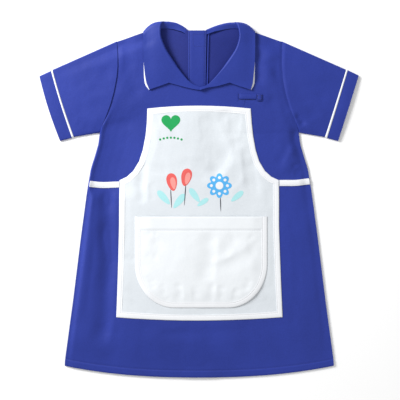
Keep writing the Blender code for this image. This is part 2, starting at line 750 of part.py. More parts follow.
COLLAR_PROFILE = [0.0, 0.45, 0.8, 1.0]              # stand, shares from seam to roll
COLLAR_FALL = [0.03, 0.10, 0.22, 0.38, 0.56, 0.78, 1.0]   # fall, shares from roll to edge


def collar_section(rows, position):
    """Points across the collar at a position in its rows, from neck seam to free edge."""
    seam = straight_value([Vector(row[0]) * MM for row in rows], position)
    roll = curve_value([Vector(row[1]) * MM for row in rows], position)
    edge = straight_value([Vector(row[2]) * MM for row in rows], position)
    bulge, level, stand, fall = (
        straight_value([row[column] for row in rows], position) for column in (3, 4, 5, 6)
    )
    stand, fall, bulge = stand * MM, fall * MM, bulge * MM
    share_front = (level + 1) / 2
    back_mid = on_lattice(back_left_under, abs(seam.x), seam.y) + CLOTH / 2
    front_mid = on_lattice(front_under, abs(seam.x), seam.y) + CLOTH / 2
    seam_height = back_mid + (front_mid - back_mid) * share_front
    roll_height = (stand + fall) / 2
    points = []
    start = SEAM_END / (roll - seam).length
    for share in COLLAR_PROFILE:
        share = max(share, start)
        place = seam.lerp(roll, share)
        if share < 1:
            height = seam_height + (stand - seam_height) * smooth(share / STAND_RISE)
        else:
            height = roll_height
        points.append((place.x, place.y, height))
    run = edge - roll
    out = Vector((run.y, -run.x)).normalized()
    for share in COLLAR_FALL:
        place = roll + run * share + out * bulge * math.sin(math.pi * share)
        floor = COLLAR_CLOTH / 2 + FLOOR_CLEAR
        panel = on_lattice(front_under, place.x, place.y) + CLOTH + COLLAR_CLEAR + floor
        rest = floor + (panel - floor) * smooth(share_front)
        settle = smooth((share - 0.05) / 0.5)
        height = fall + (rest - fall) * settle
        points.append((place.x, place.y, height))
    return points


def make_collar():
    last = len(COLLAR) - 1
    positions = [k / COLLAR_STEPS for k in range(last * COLLAR_STEPS + 1)]
    for side, sign in (("left", 1), ("right", -1)):
        rows = collar_rows(side)
        sections = []
        for position in positions:
            points = collar_section(rows, position)
            sections.append([(x * sign, y, z) for x, y, z in points])
        bm = loft(sections, closed=False)
        if sign < 0:
            bmesh.ops.reverse_faces(bm, faces=bm.faces[:])
        piece = add_object("collar_" + side, bm, BLUE, 0.7)
        add_wall(piece, COLLAR_CLOTH, 0)


def make_collar_piping():
    """White edging under each collar half's outer side, flat on the front."""
    first, last = PIPING_ROWS
    for side, sign in (("left", 1), ("right", -1)):
        rows = collar_rows(side)
        line = []
        for step in range(PIPING_STEPS + 1):
            position = first + (last - first) * step / PIPING_STEPS
            edge = straight_value([Vector(row[2]) * MM for row in rows], position)
            line.append((edge.x, edge.y))
        outer = []
        for step, point in enumerate(moved_in(line, -1.0)):
            share = step / PIPING_STEPS
            shows = PIPING_SHOWS * (0.15 + 0.85 * smooth(share / 0.7)) * (1 - 0.5 * share ** 6)
            away = (Vector(point) - Vector(line[step])) * shows
            outer.append((line[step][0] + away.x, line[step][1] + away.y))
        inner = moved_in(line, PIPING_WIDTH - PIPING_SHOWS)
        strip = [(x * sign, y) for x, y in outer + inner[::-1]]
        cut_piece("collar_piping_" + side, strip, apron_under, EDGING_CLOTH, WHITE)


clear_scene()
DRESS = bpy.data.collections.new("nurse_uniform_dress")
bpy.context.scene.collection.children.link(DRESS)
make_backs()
make_closure()
make_front()
make_sleeves()
make_collar()
make_collar_piping()
make_apron()
make_tapes()
make_pocket()
make_tab()
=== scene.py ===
import math

import bpy
import numpy as np
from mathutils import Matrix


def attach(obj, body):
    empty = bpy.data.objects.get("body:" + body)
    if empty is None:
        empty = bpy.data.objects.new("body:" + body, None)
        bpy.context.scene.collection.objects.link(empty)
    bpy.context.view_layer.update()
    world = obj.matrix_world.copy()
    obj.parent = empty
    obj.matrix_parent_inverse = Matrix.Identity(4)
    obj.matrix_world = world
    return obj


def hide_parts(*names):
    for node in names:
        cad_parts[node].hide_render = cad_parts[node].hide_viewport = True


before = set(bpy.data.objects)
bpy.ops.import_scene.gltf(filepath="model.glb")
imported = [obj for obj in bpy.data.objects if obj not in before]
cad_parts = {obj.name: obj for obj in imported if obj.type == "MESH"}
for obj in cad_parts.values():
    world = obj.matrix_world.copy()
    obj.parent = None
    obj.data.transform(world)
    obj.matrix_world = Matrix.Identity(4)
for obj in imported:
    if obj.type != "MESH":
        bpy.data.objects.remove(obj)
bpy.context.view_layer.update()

# Back panels: two pieces of royal blue woven polyester, seamed to the front at the sides
# and shoulders, the left one over the right one at the centre back. They lie on the table,
# a little raised on the collar's fall at the neck, with a few creases pressed by folding.
MM = 0.001
HEM_LOW_Y = -301.1 * MM
HEM_SAG, HEM_CURVE = 19.8 * MM, 2.35    # how far the hem rises to the sides, and how late
UNDERARM_Y = 114 * MM
CLOTH, SHELL = 1.2 * MM, 0.7 * MM       # a layer's room, and the wall that it is given
LAYER_GAP = 0.3 * MM
PATCH_CLOTH = 0.8 * MM
FALL_LIFT = 2.1 * MM                    # where the back lies on the collar's fall
BESIDE_LIFT = 2.0 * MM                  # where the right panel rises beside the placket band
SMOOTH_ANGLE = math.radians(50)
# Centre back edge and top of the left (-1) and the right (1) panel: x, y
BACK_EDGES = {-1: (10.4 * MM, 286.5 * MM), 1: (-12 * MM, 286 * MM)}
FLAT_TOP = 24 * MM                      # how far from the middle the top stays level

# Side seam and armhole: y, distance from the middle, both mm
BODY_SIDE = [
    (-282.2, 228.0), (-272, 227.6), (-170, 213.8), (-68, 201.2), (13, 190.4), (52, 184.0),
    (74, 177.0), (94, 171.2), (114, 168.6), (126, 165.2), (142, 158.2), (161, 151.2),
    (182, 145.5), (205, 141.3), (225, 139.4), (245, 139.6), (268.1, 141.5),
]
# Shoulder seam: distance from the middle, y, both mm
SHOULDER = [(67.0, 289.3), (96.0, 283.8), (141.5, 268.1)]
# Neck seam of the back: distance from the middle, y, both mm
BACK_NECK = [
    (0, 278.4), (20.5, 278.6), (30.5, 283.8), (43, 287.6), (54, 289.4), (62, 289.4), (67, 288.9),
    (96, 283.4), (141.5, 267.7),
]
# Pressed creases of the back: start x, y, end x, y, width, height, bow, all mm
BACK_CREASES = [
    (-150, -40, -168, -230, 9, 0.8, 6), (140, 10, 165, -210, 10, 0.9, -5),
    (-60, 60, -72, -190, 12, 0.8, 4), (62, 90, 80, -120, 12, 0.7, -6),
    (-130, 150, -60, 190, 9, 0.6, 5), (120, 140, 60, 176, 9, 0.7, -4),
    (-100, 20, 90, 8, 12, 0.5, 6), (30, -190, 44, -290, 10, 0.7, 2),
]


def smooth(value):
    value = np.clip(value, 0.0, 1.0)
    return value * value * (3 - 2 * value)


def rise(value, start, length):
    """Soft step from 0 up to 1, from a start and over a length in mm."""
    return smooth((value - start * MM) / (length * MM))


def fade(value, end, length):
    """Soft step from 1 down to 0, over a length in mm before the end."""
    return smooth((end * MM - value) / (length * MM))


def groove(offset, width):
    """1 on a line and 0 away from it, for a seam pressed in. The width is in mm."""
    return np.exp(-(offset / (width * MM)) ** 2)


def along(rows, key):
    """Value of a table's second column at one of its first, both in metres."""
    table = np.array(rows) * MM
    return np.interp(key, table[:, 0], table[:, 1])


def body_half(y):
    near = 4 * MM
    return (along(BODY_SIDE, y - near) + along(BODY_SIDE, y) * 2 + along(BODY_SIDE, y + near)) / 4


def hem_y(x):
    return HEM_LOW_Y + HEM_SAG * (np.abs(x) / (BODY_SIDE[0][1] * MM)) ** HEM_CURVE


def shoulder_y(x):
    return along(SHOULDER, np.abs(x))


def creases(rows, x, y):
    """Sum of soft, slightly bowed and lopsided troughs and ridges at each point."""
    total = np.zeros_like(x)
    for count, (start_x, start_y, end_x, end_y, width, height, bow) in enumerate(rows):
        run_x, run_y = (end_x - start_x) * MM, (end_y - start_y) * MM
        length = math.hypot(run_x, run_y)
        off_x, off_y = x - start_x * MM, y - start_y * MM
        share = (off_x * run_x + off_y * run_y) / length ** 2
        across = (off_y * run_x - off_x * run_y) / length
        inside = np.clip(share, 0, 1)
        wander = 0.12 * width * np.sin(7 * inside + count) + bow * 4 * inside * (1 - inside)
        across = (across - wander * MM) / (2 * width * MM)
        across = across + (0.22 if count % 2 else -0.22) * np.clip(1 - across ** 2, 0, 1)
        ends = smooth(share / 0.3 + 0.5) * smooth((1 - share) / 0.3 + 0.5)
        depth = 1 + 0.25 * np.sin(11 * share + 2 * count)
        total += height * MM * np.clip(1 - across ** 2, 0, 1) ** 2 * ends * depth
    return total


def near_neck(y):
    """0 at the chest and 1 beside the neck."""
    return rise(y, 180, 44)


def fall_lift(x, y):
    x = np.abs(x)
    return FALL_LIFT * (0.8 + 0.2 * rise(x, 2, 26)) * fade(x, 128, 24) * near_neck(y)


def back_creases(x, y):
    return np.maximum(creases(BACK_CREASES, x, y), 0) * rise(np.abs(x), 20, 20)


def back_right_top(x, y):
    beside = rise(x, 10.5, 5) * fade(x, 70, 50)
    beside = beside * rise(y, 150, 40) * fade(y, 286, 14)
    return fall_lift(x, y) + CLOTH + back_creases(x, y) + BESIDE_LIFT * beside


def overlap(x):
    return fade(np.abs(x), 56, 42)


def patches_rise(y):
    """Height of the two closure patches, eased out below them."""
    return 2 * (PATCH_CLOTH + LAYER_GAP) * rise(y, 196, 40)


def back_left_top(x, y):
    under = (CLOTH + LAYER_GAP + patches_rise(y)) * overlap(x)
    return fall_lift(x, y) + under + CLOTH + back_creases(x, y)


def cloth_grid(name, columns, rows, shape, wall=SHELL, offset=-1.0, closed=False):
    """A grid laid out by shape(u, v), joined where it closes, and given a thin wall."""
    bpy.ops.object.select_all(action="DESELECT")
    bpy.ops.mesh.primitive_grid_add(x_subdivisions=columns, y_subdivisions=rows, size=1)
    piece = bpy.context.object
    piece.name = piece.data.name = name
    flat = np.empty(len(piece.data.vertices) * 3)
    piece.data.vertices.foreach_get("co", flat)
    u, v = np.clip(flat[0::3] + 0.5, 0, 1), np.clip(flat[1::3] + 0.5, 0, 1)
    x, y, z = shape(u, v)
    piece.data.vertices.foreach_set("co", np.stack([x, y, z], axis=1).ravel())
    piece.data.update()
    bpy.ops.object.mode_set(mode="EDIT")
    bpy.ops.mesh.select_all(action="SELECT")
    if closed:
        bpy.ops.mesh.remove_doubles(threshold=0.03 * MM)
        bpy.ops.mesh.normals_make_consistent(inside=False)
    elif sum(face.normal.z * face.area for face in piece.data.polygons) < 0:
        bpy.ops.mesh.flip_normals()
    bpy.ops.object.mode_set(mode="OBJECT")
    if wall:
        solid = piece.modifiers.new("wall", "SOLIDIFY")
        solid.thickness, solid.offset, solid.use_even_offset = wall, offset, False
        bpy.ops.object.modifier_apply(modifier=solid.name)
    bpy.ops.object.shade_smooth_by_angle(angle=SMOOTH_ANGLE)
    return piece


def add_node(tree, kind, inputs, **settings):
    """A shader node with its settings. Each input is a value or another node's output."""
    node = tree.nodes.new("ShaderNode" + kind)
    for key, value in settings.items():
        setattr(node, key, value)
    feed(tree, node, inputs)
    return node


def feed(tree, node, inputs):
    for key, value in inputs.items():
        if isinstance(value, bpy.types.NodeSocket):
            tree.links.new(value, node.inputs[key])
        else:
            node.inputs[key].default_value = value


def new_material(name):
    """A material, its node tree and its place on the object, which all patterns follow."""
    material = bpy.data.materials.new(name)
    material.use_nodes = True
    tree = material.node_tree
    return material, tree, tree.nodes.new("ShaderNodeTexCoord").outputs["Object"]


def tinted(colour, share=1.0):
    return tuple(min(1.0, part * share) for part in colour) + (1,)


def two_tone(tree, pattern, first, second, stops=(0.0, 1.0)):
    """The colour that a pattern gives between two others."""
    ramp = add_node(tree, "ValToRGB", {"Fac": pattern})
    for stop, position, colour in zip(ramp.color_ramp.elements, stops, (first, second)):
        stop.position, stop.color = position, colour
    return ramp.outputs["Color"]


def woven(name, light, dark, roughness, weave, crumple, sheen):
    """Plain weave: two shades in soft patches, fine threads and slight crumpling as bump."""
    material, tree, place = new_material(name)

    def noise(scale, detail):
        return add_node(tree, "TexNoise", {"Scale": scale, "Detail": detail,
                                           "Vector": place}).outputs["Fac"]

    fibres, shades, crumples = noise(620.0, 2.0), noise(9.0, 3.0), noise(28.0, 4.0)
    shades = add_node(tree, "Math", {0: shades, 1: 0.5}, operation="MULTIPLY").outputs[0]
    patches = add_node(tree, "Math", {0: fibres, 1: 0.5, 2: shades},
                       operation="MULTIPLY_ADD").outputs[0]
    warp, weft = (add_node(tree, "TexWave", {"Scale": weave, "Distortion": 0.6, "Vector": place},
                           bands_direction=direction).outputs["Fac"] for direction in "XY")
    cross = add_node(tree, "Math", {0: warp, 1: weft}, operation="MULTIPLY").outputs[0]
    fine = add_node(tree, "Bump", {"Strength": 0.35, "Distance": 0.0001, "Height": cross})
    soft = add_node(tree, "Bump", {"Strength": 1.0, "Distance": crumple, "Height": crumples,
                                   "Normal": fine.outputs["Normal"]})
    feed(tree, tree.nodes["Principled BSDF"], {
        "Base Color": two_tone(tree, patches, tinted(dark), tinted(light), stops=(0.3, 0.7)),
        "Normal": soft.outputs["Normal"],
        "Roughness": roughness,
        "Specular IOR Level": 0.22,
        "Sheen Weight": sheen,
        "Sheen Roughness": 0.4,
        "Sheen Tint": tinted(light, 3),
    })
    return material


blue_cloth = woven("blue_cloth", (0.0245, 0.0455, 0.312), (0.0178, 0.0335, 0.233),
                   roughness=0.62, weave=260.0, crumple=0.0011, sheen=0.25)
# The back panels' cloth: the same blue cloth made darker, as painted shade for the shade that falls
# inside the neck.
inside_cloth_painted_shade = woven("inside_cloth_painted_shade", (0.0163, 0.028, 0.214), (0.011, 0.0195, 0.155),
                     roughness=0.7, weave=260.0, crumple=0.0009, sheen=0.15)


def fit(piece, material, slot, *nodes):
    """Gives a piece its finish and its place in the object, for the nodes it stands for."""
    piece.data.materials.clear()
    piece.data.materials.append(material)
    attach(piece, "root")
    if nodes:
        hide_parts(*nodes)


def band_lean(y):
    """The centre back edge runs slightly towards the right higher up."""
    return 2.2 * MM * np.clip((y - 150 * MM) / (136 * MM), 0, 1)


def back_shape(side):
    """Left panel runs past the middle to its centre back edge, the right one stops under it."""
    def place(u, v):
        edge, top_y = BACK_EDGES[side]
        share = np.interp(u, [0, 0.24, 1], [0, 0.18, 1]) if side > 0 else 1 - u

        def at(y):
            start = edge + (band_lean(y) if side < 0 else 0)
            return start + (side * body_half(y) - start) * share

        def neck(x):
            line = along(BACK_NECK, np.abs(x)) - 0.4 * MM
            return np.where(side * x < FLAT_TOP, top_y, line)

        low, high = np.full_like(u, -290 * MM), np.full_like(u, 270 * MM)    # first guess
        for _ in range(4):
            low, high = hem_y(at(low)), neck(at(high))
        y = low + (high - low) * v
        x = at(y)
        return x, y, (back_left_top if side < 0 else back_right_top)(x, y)
    return place


back_left = cloth_grid("back_left_cloth", 66, 150, back_shape(-1))
back_right = cloth_grid("back_right_cloth", 66, 150, back_shape(1))
# Both back panels take the darker copy of the blue cloth: painted shade inside the neck.
fit(back_left, inside_cloth_painted_shade, "dress_cloth", "back_left")
fit(back_right, inside_cloth_painted_shade, "dress_cloth", "back_right")


# Centre back closure: a pair of sewn hook-and-loop patches between the two panels, and the
# folded placket band stitched down the edge above them. The stitched square that holds the
# upper patch shows on the band inside the neck.
PATCH_SQUARE = ((-10.5, 9.4), (259, 280))    # x from and to, y from and to, mm
BAND_EDGES = ((-18.7, 10.1), (150, 286.2))
BAND_SEAM_LEFT, BAND_SEAM_RIGHT = 2.4 * MM, 2.2 * MM    # in from the band's edges
THIN_WALL = 0.5 * MM
# Section of a flat piece of tape: share across, share of its height
FLAT_PROFILE = [(0, 0.35), (0.04, 0.85), (0.10, 1.0), (0.90, 1.0), (0.96, 0.85), (1, 0.35)]


def strip_stations(line, spacing=3 * MM):
    """Places along a line of points, as an index and share of the way to the next."""
    places = []
    for index in range(len(line) - 1):
        length = math.dist(line[index], line[index + 1])
        pieces = max(1, math.ceil(length / spacing))
        places += [index + step / pieces for step in range(pieces)]
    return np.array(places + [len(line) - 1.0])


def strip(name, outer, inner, under, thickness, profile, rows=14, wall=THIN_WALL):
    """A tape between two lines with equal numbers of points, lying on a height."""
    outer, inner = np.array(outer), np.array(inner)
    stations = strip_stations(outer)
    index = np.arange(len(outer))
    shares, heights = np.array(profile).T

    def place(u, v):
        spot = stations[np.rint(u * (len(stations) - 1)).astype(int)]
        start = np.stack([np.interp(spot, index, outer[:, k]) for k in (0, 1)])
        end = np.stack([np.interp(spot, index, inner[:, k]) for k in (0, 1)])
        across = np.interp(v * (len(profile) - 1), np.arange(len(profile)), shares)
        x, y = start + (end - start) * across
        return x, y, under(x, y) + thickness * np.interp(across, shares, heights)

    return cloth_grid(name, len(stations) - 1, rows, place, wall)


def rectangle_lines(x_range, y_range):
    """Right and left side of a rectangle, from low to high, in metres."""
    return [np.array([(x, y) for y in y_range]) * MM for x in x_range[::-1]]


def hook_and_loop(name, shade):
    """Dense short loops: a fuzzy, dark and matt surface."""
    material, tree, place = new_material(name)
    cells = add_node(tree, "TexVoronoi", {"Scale": 1400.0, "Vector": place}).outputs["Distance"]
    feed(tree, tree.nodes["Principled BSDF"], {
        "Base Color": two_tone(tree, cells, tinted(shade, 1.3), tinted(shade, 0.6)),
        "Normal": add_node(tree, "Bump", {"Distance": 0.0004, "Height": cells}).outputs["Normal"],
        "Roughness": 0.95,
    })
    return material


patch_material = hook_and_loop("hook_and_loop_tape", (0.05, 0.06, 0.16))
patch_lines = rectangle_lines(*PATCH_SQUARE)
for patch, level in (("loop_patch", 0), ("hook_patch", 1)):
    def patch_under(x, y, level=level):
        return back_right_top(x, y) + LAYER_GAP + level * (PATCH_CLOTH + LAYER_GAP)

    tape = strip(patch + "_tape", *patch_lines, patch_under, PATCH_CLOTH * 0.9, FLAT_PROFILE, 10)
    fit(tape, patch_material, "hook_and_loop", patch)


def back_band_top(x, y):
    """Top of the placket band, with the sewn seams pressed in along both edges."""
    low, high = (edge * MM for edge in BAND_EDGES[0])
    high = high + band_lean(y)
    seam = 0.35 * MM * (groove(x - low - BAND_SEAM_LEFT, 0.9)
                        + groove(x - high + BAND_SEAM_RIGHT, 0.9))
    return back_left_top(x, y) + LAYER_GAP + 1.0 * MM - seam


BAND_PROFILE = [(0, 0), (0.03, 0.5), (0.07, 0.7), (0.12, 0.75), (0.2, 1), (0.5, 1), (0.8, 1),
                (0.88, 0.7), (0.94, 0.7), (0.98, 0.5), (1, 0)]
band_right, band_left = rectangle_lines(*BAND_EDGES)
band_right[:, 0] += band_lean(band_right[:, 1])
band = strip("placket_band_cloth", band_right, band_left,
             lambda x, y: back_band_top(x, y) - 0.6 * MM, 0.6 * MM, BAND_PROFILE, 40)
fit(band, blue_cloth, "dress_cloth", "back_placket_band")

# The pressed edge of the right panel stands up beside the band as one narrow fold. Its two
# sides: x, y, mm
FOLD_LEFT = [(12.1, 180), (12.5, 210), (13.1, 240), (13.8, 268), (14.2, 284)]
FOLD_RIGHT = [(14.7, 180), (15.2, 210), (16.0, 240), (16.9, 268), (17.4, 284)]
FOLD_HEIGHT = 2.6 * MM
FOLD_PROFILE = [(0, 0), (0.14, 0.6), (0.35, 0.95), (0.6, 1.0), (0.85, 0.8), (1, 0.2)]
fold = strip("placket_fold_cloth", np.array(FOLD_RIGHT) * MM, np.array(FOLD_LEFT) * MM,
             lambda x, y: back_right_top(x, y) - 0.2 * MM, FOLD_HEIGHT, FOLD_PROFILE,
             wall=0.3 * MM)
fit(fold, blue_cloth, "dress_cloth")


def stitching(name, lines, top, length=2.3 * MM, step=3.1 * MM, width=0.55 * MM):
    """A row of thread stitches along each line, one low bead modelled once and repeated."""
    bpy.ops.object.select_all(action="DESELECT")
    bpy.ops.mesh.primitive_uv_sphere_add(segments=6, ring_count=4, radius=0.5)
    bead = bpy.context.object
    bpy.ops.transform.resize(value=(length, width, width * 0.8))
    bpy.ops.object.transform_apply(location=False, rotation=False, scale=True)
    shape = np.array([vert.co[:] for vert in bead.data.vertices])
    faces = [list(face.vertices) for face in bead.data.polygons]
    places, turns = [], []
    for line in lines:
        points = np.array(line)
        legs = np.hypot(*np.diff(points, axis=0).T)
        run = np.concatenate([[0], np.cumsum(legs)])
        for spot in np.arange(step / 2, run[-1], step):
            leg = min(int(np.searchsorted(run, spot)) - 1, len(legs) - 1)
            share = (spot - run[leg]) / legs[leg]
            places.append(points[leg] + (points[leg + 1] - points[leg]) * share)
            turns.append(math.atan2(*(points[leg + 1] - points[leg])[::-1]))
    places, turns = np.array(places), np.array(turns)
    cos, sin = np.cos(turns)[:, None], np.sin(turns)[:, None]
    x = places[:, :1] + cos * shape[:, 0] - sin * shape[:, 1]
    y = places[:, 1:] + sin * shape[:, 0] + cos * shape[:, 1]
    z = top(x, y) + width * 0.12 + shape[:, 2]
    count = len(shape)
    all_faces = [[k * count + vert for vert in face] for k in range(len(places)) for face in faces]
    mesh = bpy.data.meshes.new(name)
    mesh.from_pydata(np.stack([x.ravel(), y.ravel(), z.ravel()], axis=1).tolist(), [], all_faces)
    bead.data = mesh
    bead.name = name
    bpy.ops.object.shade_smooth()
    return bead


def thread(name, colour):
    """Polyester sewing thread: twisted, slightly glossy."""
    material, tree, place = new_material(name)
    twist = add_node(tree, "TexWave", {"Scale": 900.0, "Vector": place}, bands_direction="DIAGONAL")
    feed(tree, tree.nodes["Principled BSDF"], {
        "Base Color": two_tone(tree, twist.outputs["Fac"], tinted(colour, 0.8), tinted(colour)),
        "Roughness": 0.5,
    })
    return material


blue_thread = thread("blue_thread", (0.022, 0.035, 0.2))
band_seams = [np.array(line) * MM for line in (
    [(-16.3, 186), (-16.3, 285)],
    [(8.5, 190), (10.1, 285)],
    [(-10.5, 259.5), (10, 259.5), (10, 280), (-10.5, 280), (-10.5, 259.5)],
)]
band_stitches = stitching("placket_band_stitching", band_seams, back_band_top)
fit(band_stitches, blue_thread, "dress_cloth")


# Front: one A-line panel of the same blue cloth, puffed a little over the flat back, with
# soft folds from the waist down, tucks at the underarms and a turned, topstitched hem.
# It is seamed to the backs at the shoulders and sides and gathers slightly at the armholes.
MAX_PUFF = 7.2 * MM
HEM_DEPTH = 12 * MM
# Neck seam of the front: distance from the middle, y, both mm
FRONT_NECK = [
    (0, 184.0), (15.6, 189.6), (26.8, 199.4), (36.8, 210.6), (43, 218.4), (48.6, 226.6),
    (54.8, 235.6), (62.5, 248.1), (68.5, 259.6), (71.5, 269.6), (72.4, 278.6), (73.4, 287.6),
    (96, 283.4), (141.5, 267.7),
]
# Folds of the front, in the columns of BACK_CREASES
FRONT_FOLDS = [
    (-163, 18, -159, -98, 10, -4.4, 1), (-146, 14, -143, -110, 15, -1.7, 0),
    (-157, -86, -170, -236, 10.5, -4.0, 2), (-140, -90, -146, -200, 14, -0.9, 0),
    (-188, 20, -204, -180, 8, 1.6, 2), (-206, -190, -214, -280, 9, -0.8, 2),
    (-150, -215, -160, -288, 11, -0.8, 2), (-84, -208, -92, -296, 12, -0.9, 2),
    (-30, -214, -26, -300, 11, -0.7, -2), (26, -212, 24, -300, 12, -0.8, 2),
    (72, -210, 84, -294, 12, -0.9, -3), (128, -208, 146, -290, 11, -0.9, 2),
    (172, 24, 186, -130, 9, -1.6, -3), (160, -30, 170, -150, 7, -0.9, 3),
    (186, -120, 206, -262, 9, -1.5, 2), (172, -180, 180, -280, 8, 0.9, 2),
    (20, 146, 10, 40, 16, -1.8, 4), (50, 150, 74, 96, 11, -1.8, -4),
    (44, 90, 20, 44, 10, -2.0, 5), (88, 66, 97, 10, 9, -1.3, 0), (-99, 62, -100, 0, 7, -1.6, 0),
    (-150, 148, -104, 190, 11, -0.8, 3), (-160, 116, -112, 128, 7, -1.2, 2),
    (-148, 190, -120, 236, 9, -0.6, 2), (166, 118, 140, 92, 7, -1.6, 2),
    (162, 160, 166, 70, 20, 2.0, 0), (168, 106, 134, 66, 6, -2.0, -3),
    (158, 132, 116, 168, 9, -1.6, -3), (150, 96, 138, 44, 8, 1.6, 3),
    (166, 62, 172, 40, 6, -2.2, 0), (146, 196, 120, 236, 7, -0.8, -2),
    (104, 262, 103, 196, 8, -2.4, 0), (122, 250, 116, 196, 8, 1.0, -3),
    (-118, 232, -104, 180, 9, -0.5, 3), (-70, -232, 60, -226, 7, -0.6, 3),
    (-96, 272, -100, 190, 22, -1.8, 0),
]
# Seam that holds the chest tab, pressed into the front: centre x, y, half length, half width
TAB_GROOVES = [(81.5, 169.0, 15, 0.2), (67.0, 174.4, 0.2, 5), (101.4, 166.8, 5, 0.2)]
# Hollow beside the left underarm's rolled rim: distance from the seam, share of the puff lost
HOLLOW = (np.array([0, 2, 9, 18, 30, 45, 75, 100]) * MM,
          [0, 0.04, 0.46, 0.62, 0.70, 0.66, 0.30, 0])


def front_base(x, y):
    """Underside of the front: over all that lies below, soft in its middle, flat at seams."""
    band = (CLOTH + LAYER_GAP) * overlap(x) * rise(y, 128, 22)
    below = fall_lift(x, y) + (CLOTH + LAYER_GAP) * overlap(x) + CLOTH + band
    below += patches_rise(y) * overlap(x)
    reach = body_half(y) - np.abs(x)
    arm = np.clip((y - UNDERARM_Y) / (SHOULDER[-1][1] * MM - UNDERARM_Y), 0, 1)
    # the armhole is held up by the sleeve set into it, the left one a little more
    seam = np.where(x < 0, 0.92, 0.84) * (4 * arm * (1 - arm)) ** np.where(x < 0, 0.35, 0.42)
    # the puff leans: it is full on the left and sinks towards the right side and hip
    lean = 0.36 * np.clip((x + 25 * MM) / (111 * MM), 0, 1)
    lean = lean + 0.14 * rise(x, 150, 60) * fade(y, 60, 80)
    # the left underarm has a rolled rim with a hollow beside it
    beside = np.where(x < 0, rise(y, 0, 24) * fade(y, 168, 44), 0)
    hollow = sum(np.interp(reach + shift * MM, *HOLLOW) for shift in (-1, 0, 1)) / 3
    edge = np.where(x < 0, 12 * MM - 9.4 * MM * beside, 20 * MM)
    body = seam * (1 - 0.2 * lean) + (1 - seam) * smooth(reach / edge) * (1 - lean)
    body = body * (1 - hollow * beside)
    body = body * rise(shoulder_y(x) - y, 0, 30)
    body = body * (0.35 + 0.65 * rise(y - hem_y(x), 0, 70))
    puff = MAX_PUFF + fall_lift(x, y) * near_neck(y)
    puff = puff + creases(FRONT_FOLDS, x, y)
    return np.maximum(below + LAYER_GAP, puff * body)


def front_top(x, y):
    """Outer face of the front, with the seams pressed in and the hem's fold rounded."""
    hem = y - hem_y(x)
    pressed = 0.4 * groove(hem - HEM_DEPTH, 1.4)
    armhole = rise(y - UNDERARM_Y, 0, 20) * groove(body_half(y) - np.abs(x), 2.6)
    pressed = pressed + np.where(x < 0, 0.5, 0.9) * armhole
    for tab_x, tab_y, reach_x, reach_y in TAB_GROOVES:
        across = np.clip((np.abs(x - tab_x * MM) - reach_x * MM) / (1.3 * MM), 0, None)
        up = np.clip((np.abs(y - tab_y * MM) - reach_y * MM) / (1.3 * MM), 0, None)
        pressed = pressed + 0.7 * np.exp(-across ** 2 - up ** 2)
    rounded = 0.5 * groove(hem, 1.2)
    proud = 0.35 * rise(HEM_DEPTH - hem, 0, 2) * rise(hem, 0, 3)
    return front_base(x, y) + CLOTH + (proud - pressed - rounded) * MM


def front_shape(u, v):
    v = np.interp(v, [0, 0.1, 1], [0, 0.035, 1])    # closer rows at the hem
    side = u * 2 - 1

    def at(y):
        return body_half(y) * side

    low, high = np.full_like(u, -290 * MM), np.full_like(u, 230 * MM)
    for _ in range(6):
        low = hem_y(at(low))
        high = (high + along(FRONT_NECK, np.abs(at(high)))) / 2
    y = low + (high - low) * v
    return at(y), y, front_top(at(y), y)


front = cloth_grid("front_cloth", 168, 214, front_shape)
fit(front, blue_cloth, "dress_cloth", "front")
hem_xs = np.linspace(-224, 224, 90) * MM
hem_line = [(x, hem_y(x) + HEM_DEPTH) for x in hem_xs]
hem_stitches = stitching("hem_stitching", [hem_line], lambda x, y: front_top(x, y) - 0.1 * MM)
fit(hem_stitches, blue_thread, "dress_cloth")


# Sleeves: short blue sleeves pressed flat as they lie, each a tube set into the armhole.
# White folded piping is sewn into the seam of a turned blue cuff. The upper side puffs,
# the lower side lies on the table.
SLEEVE_EDGE = 3.2 * MM
CUFF_PUFF = 1.7 * MM
# Lines across each sleeve: top end x, y, bottom end x, y and outward bow, mm
SLEEVE_LINES = {
    -1: {"sleeve_end": (248.8, 220.4, 212.6, 106.7, 1.2),
         "cuff_start": (251.4, 218.8, 215.7, 105.0, 1.1),
         "cuff_end": (271.0, 209.7, 235.9, 99.8, 2.0)},
    1: {"sleeve_end": (248.9, 220.8, 212.8, 106.4, 0.3),
        "cuff_start": (251.7, 219.9, 216.5, 104.8, 0.2),
        "cuff_end": (270.2, 211.0, 235.2, 99.7, 0.1)},
}
# Folds of each sleeve, in the columns of BACK_CREASES
SLEEVE_FOLDS = {
    -1: [(-150, 246, -196, 228, 10, 0.4, 3), (-152, 214, -206, 196, 9, -0.5, -4),
         (-158, 170, -206, 160, 10, -0.5, 4), (-166, 132, -208, 122, 8, 0.5, 3),
         (-172, 116, -204, 130, 7, -1.2, -3), (-148, 232, -176, 180, 8, -0.4, 3)],
    1: [(150, 240, 200, 226, 10, -0.5, 3), (150, 206, 208, 204, 9, 0.5, 4),
        (156, 168, 214, 172, 10, -0.7, -4), (166, 134, 200, 150, 8, -1.2, 3),
        (170, 118, 198, 112, 6, 1.0, 3), (148, 226, 180, 186, 8, -0.4, -3),
        (163, 142, 177, 126, 4, -2.2, 0)],
}
# How far the sleeve's edge stands above the front at the armhole seam
SEAM_STEP = {-1: 1.5 * MM, 1: 0.3 * MM}
FLAT_WIDTH = np.hypot(118 * MM, 10 * MM)    # across the flattened tube


def cross_line(name, share, sign):
    if name == "armhole":
        tip_y = SHOULDER[-1][1] * MM
        y = tip_y + (UNDERARM_Y - tip_y) * share
        return body_half(y), y
    top_x, top_y, low_x, low_y, bow = (value * MM for value in SLEEVE_LINES[sign][name])
    bow = bow * np.sin(math.pi * share)
    return top_x + (low_x - top_x) * share + bow, top_y + (low_y - top_y) * share - bow * 0.3


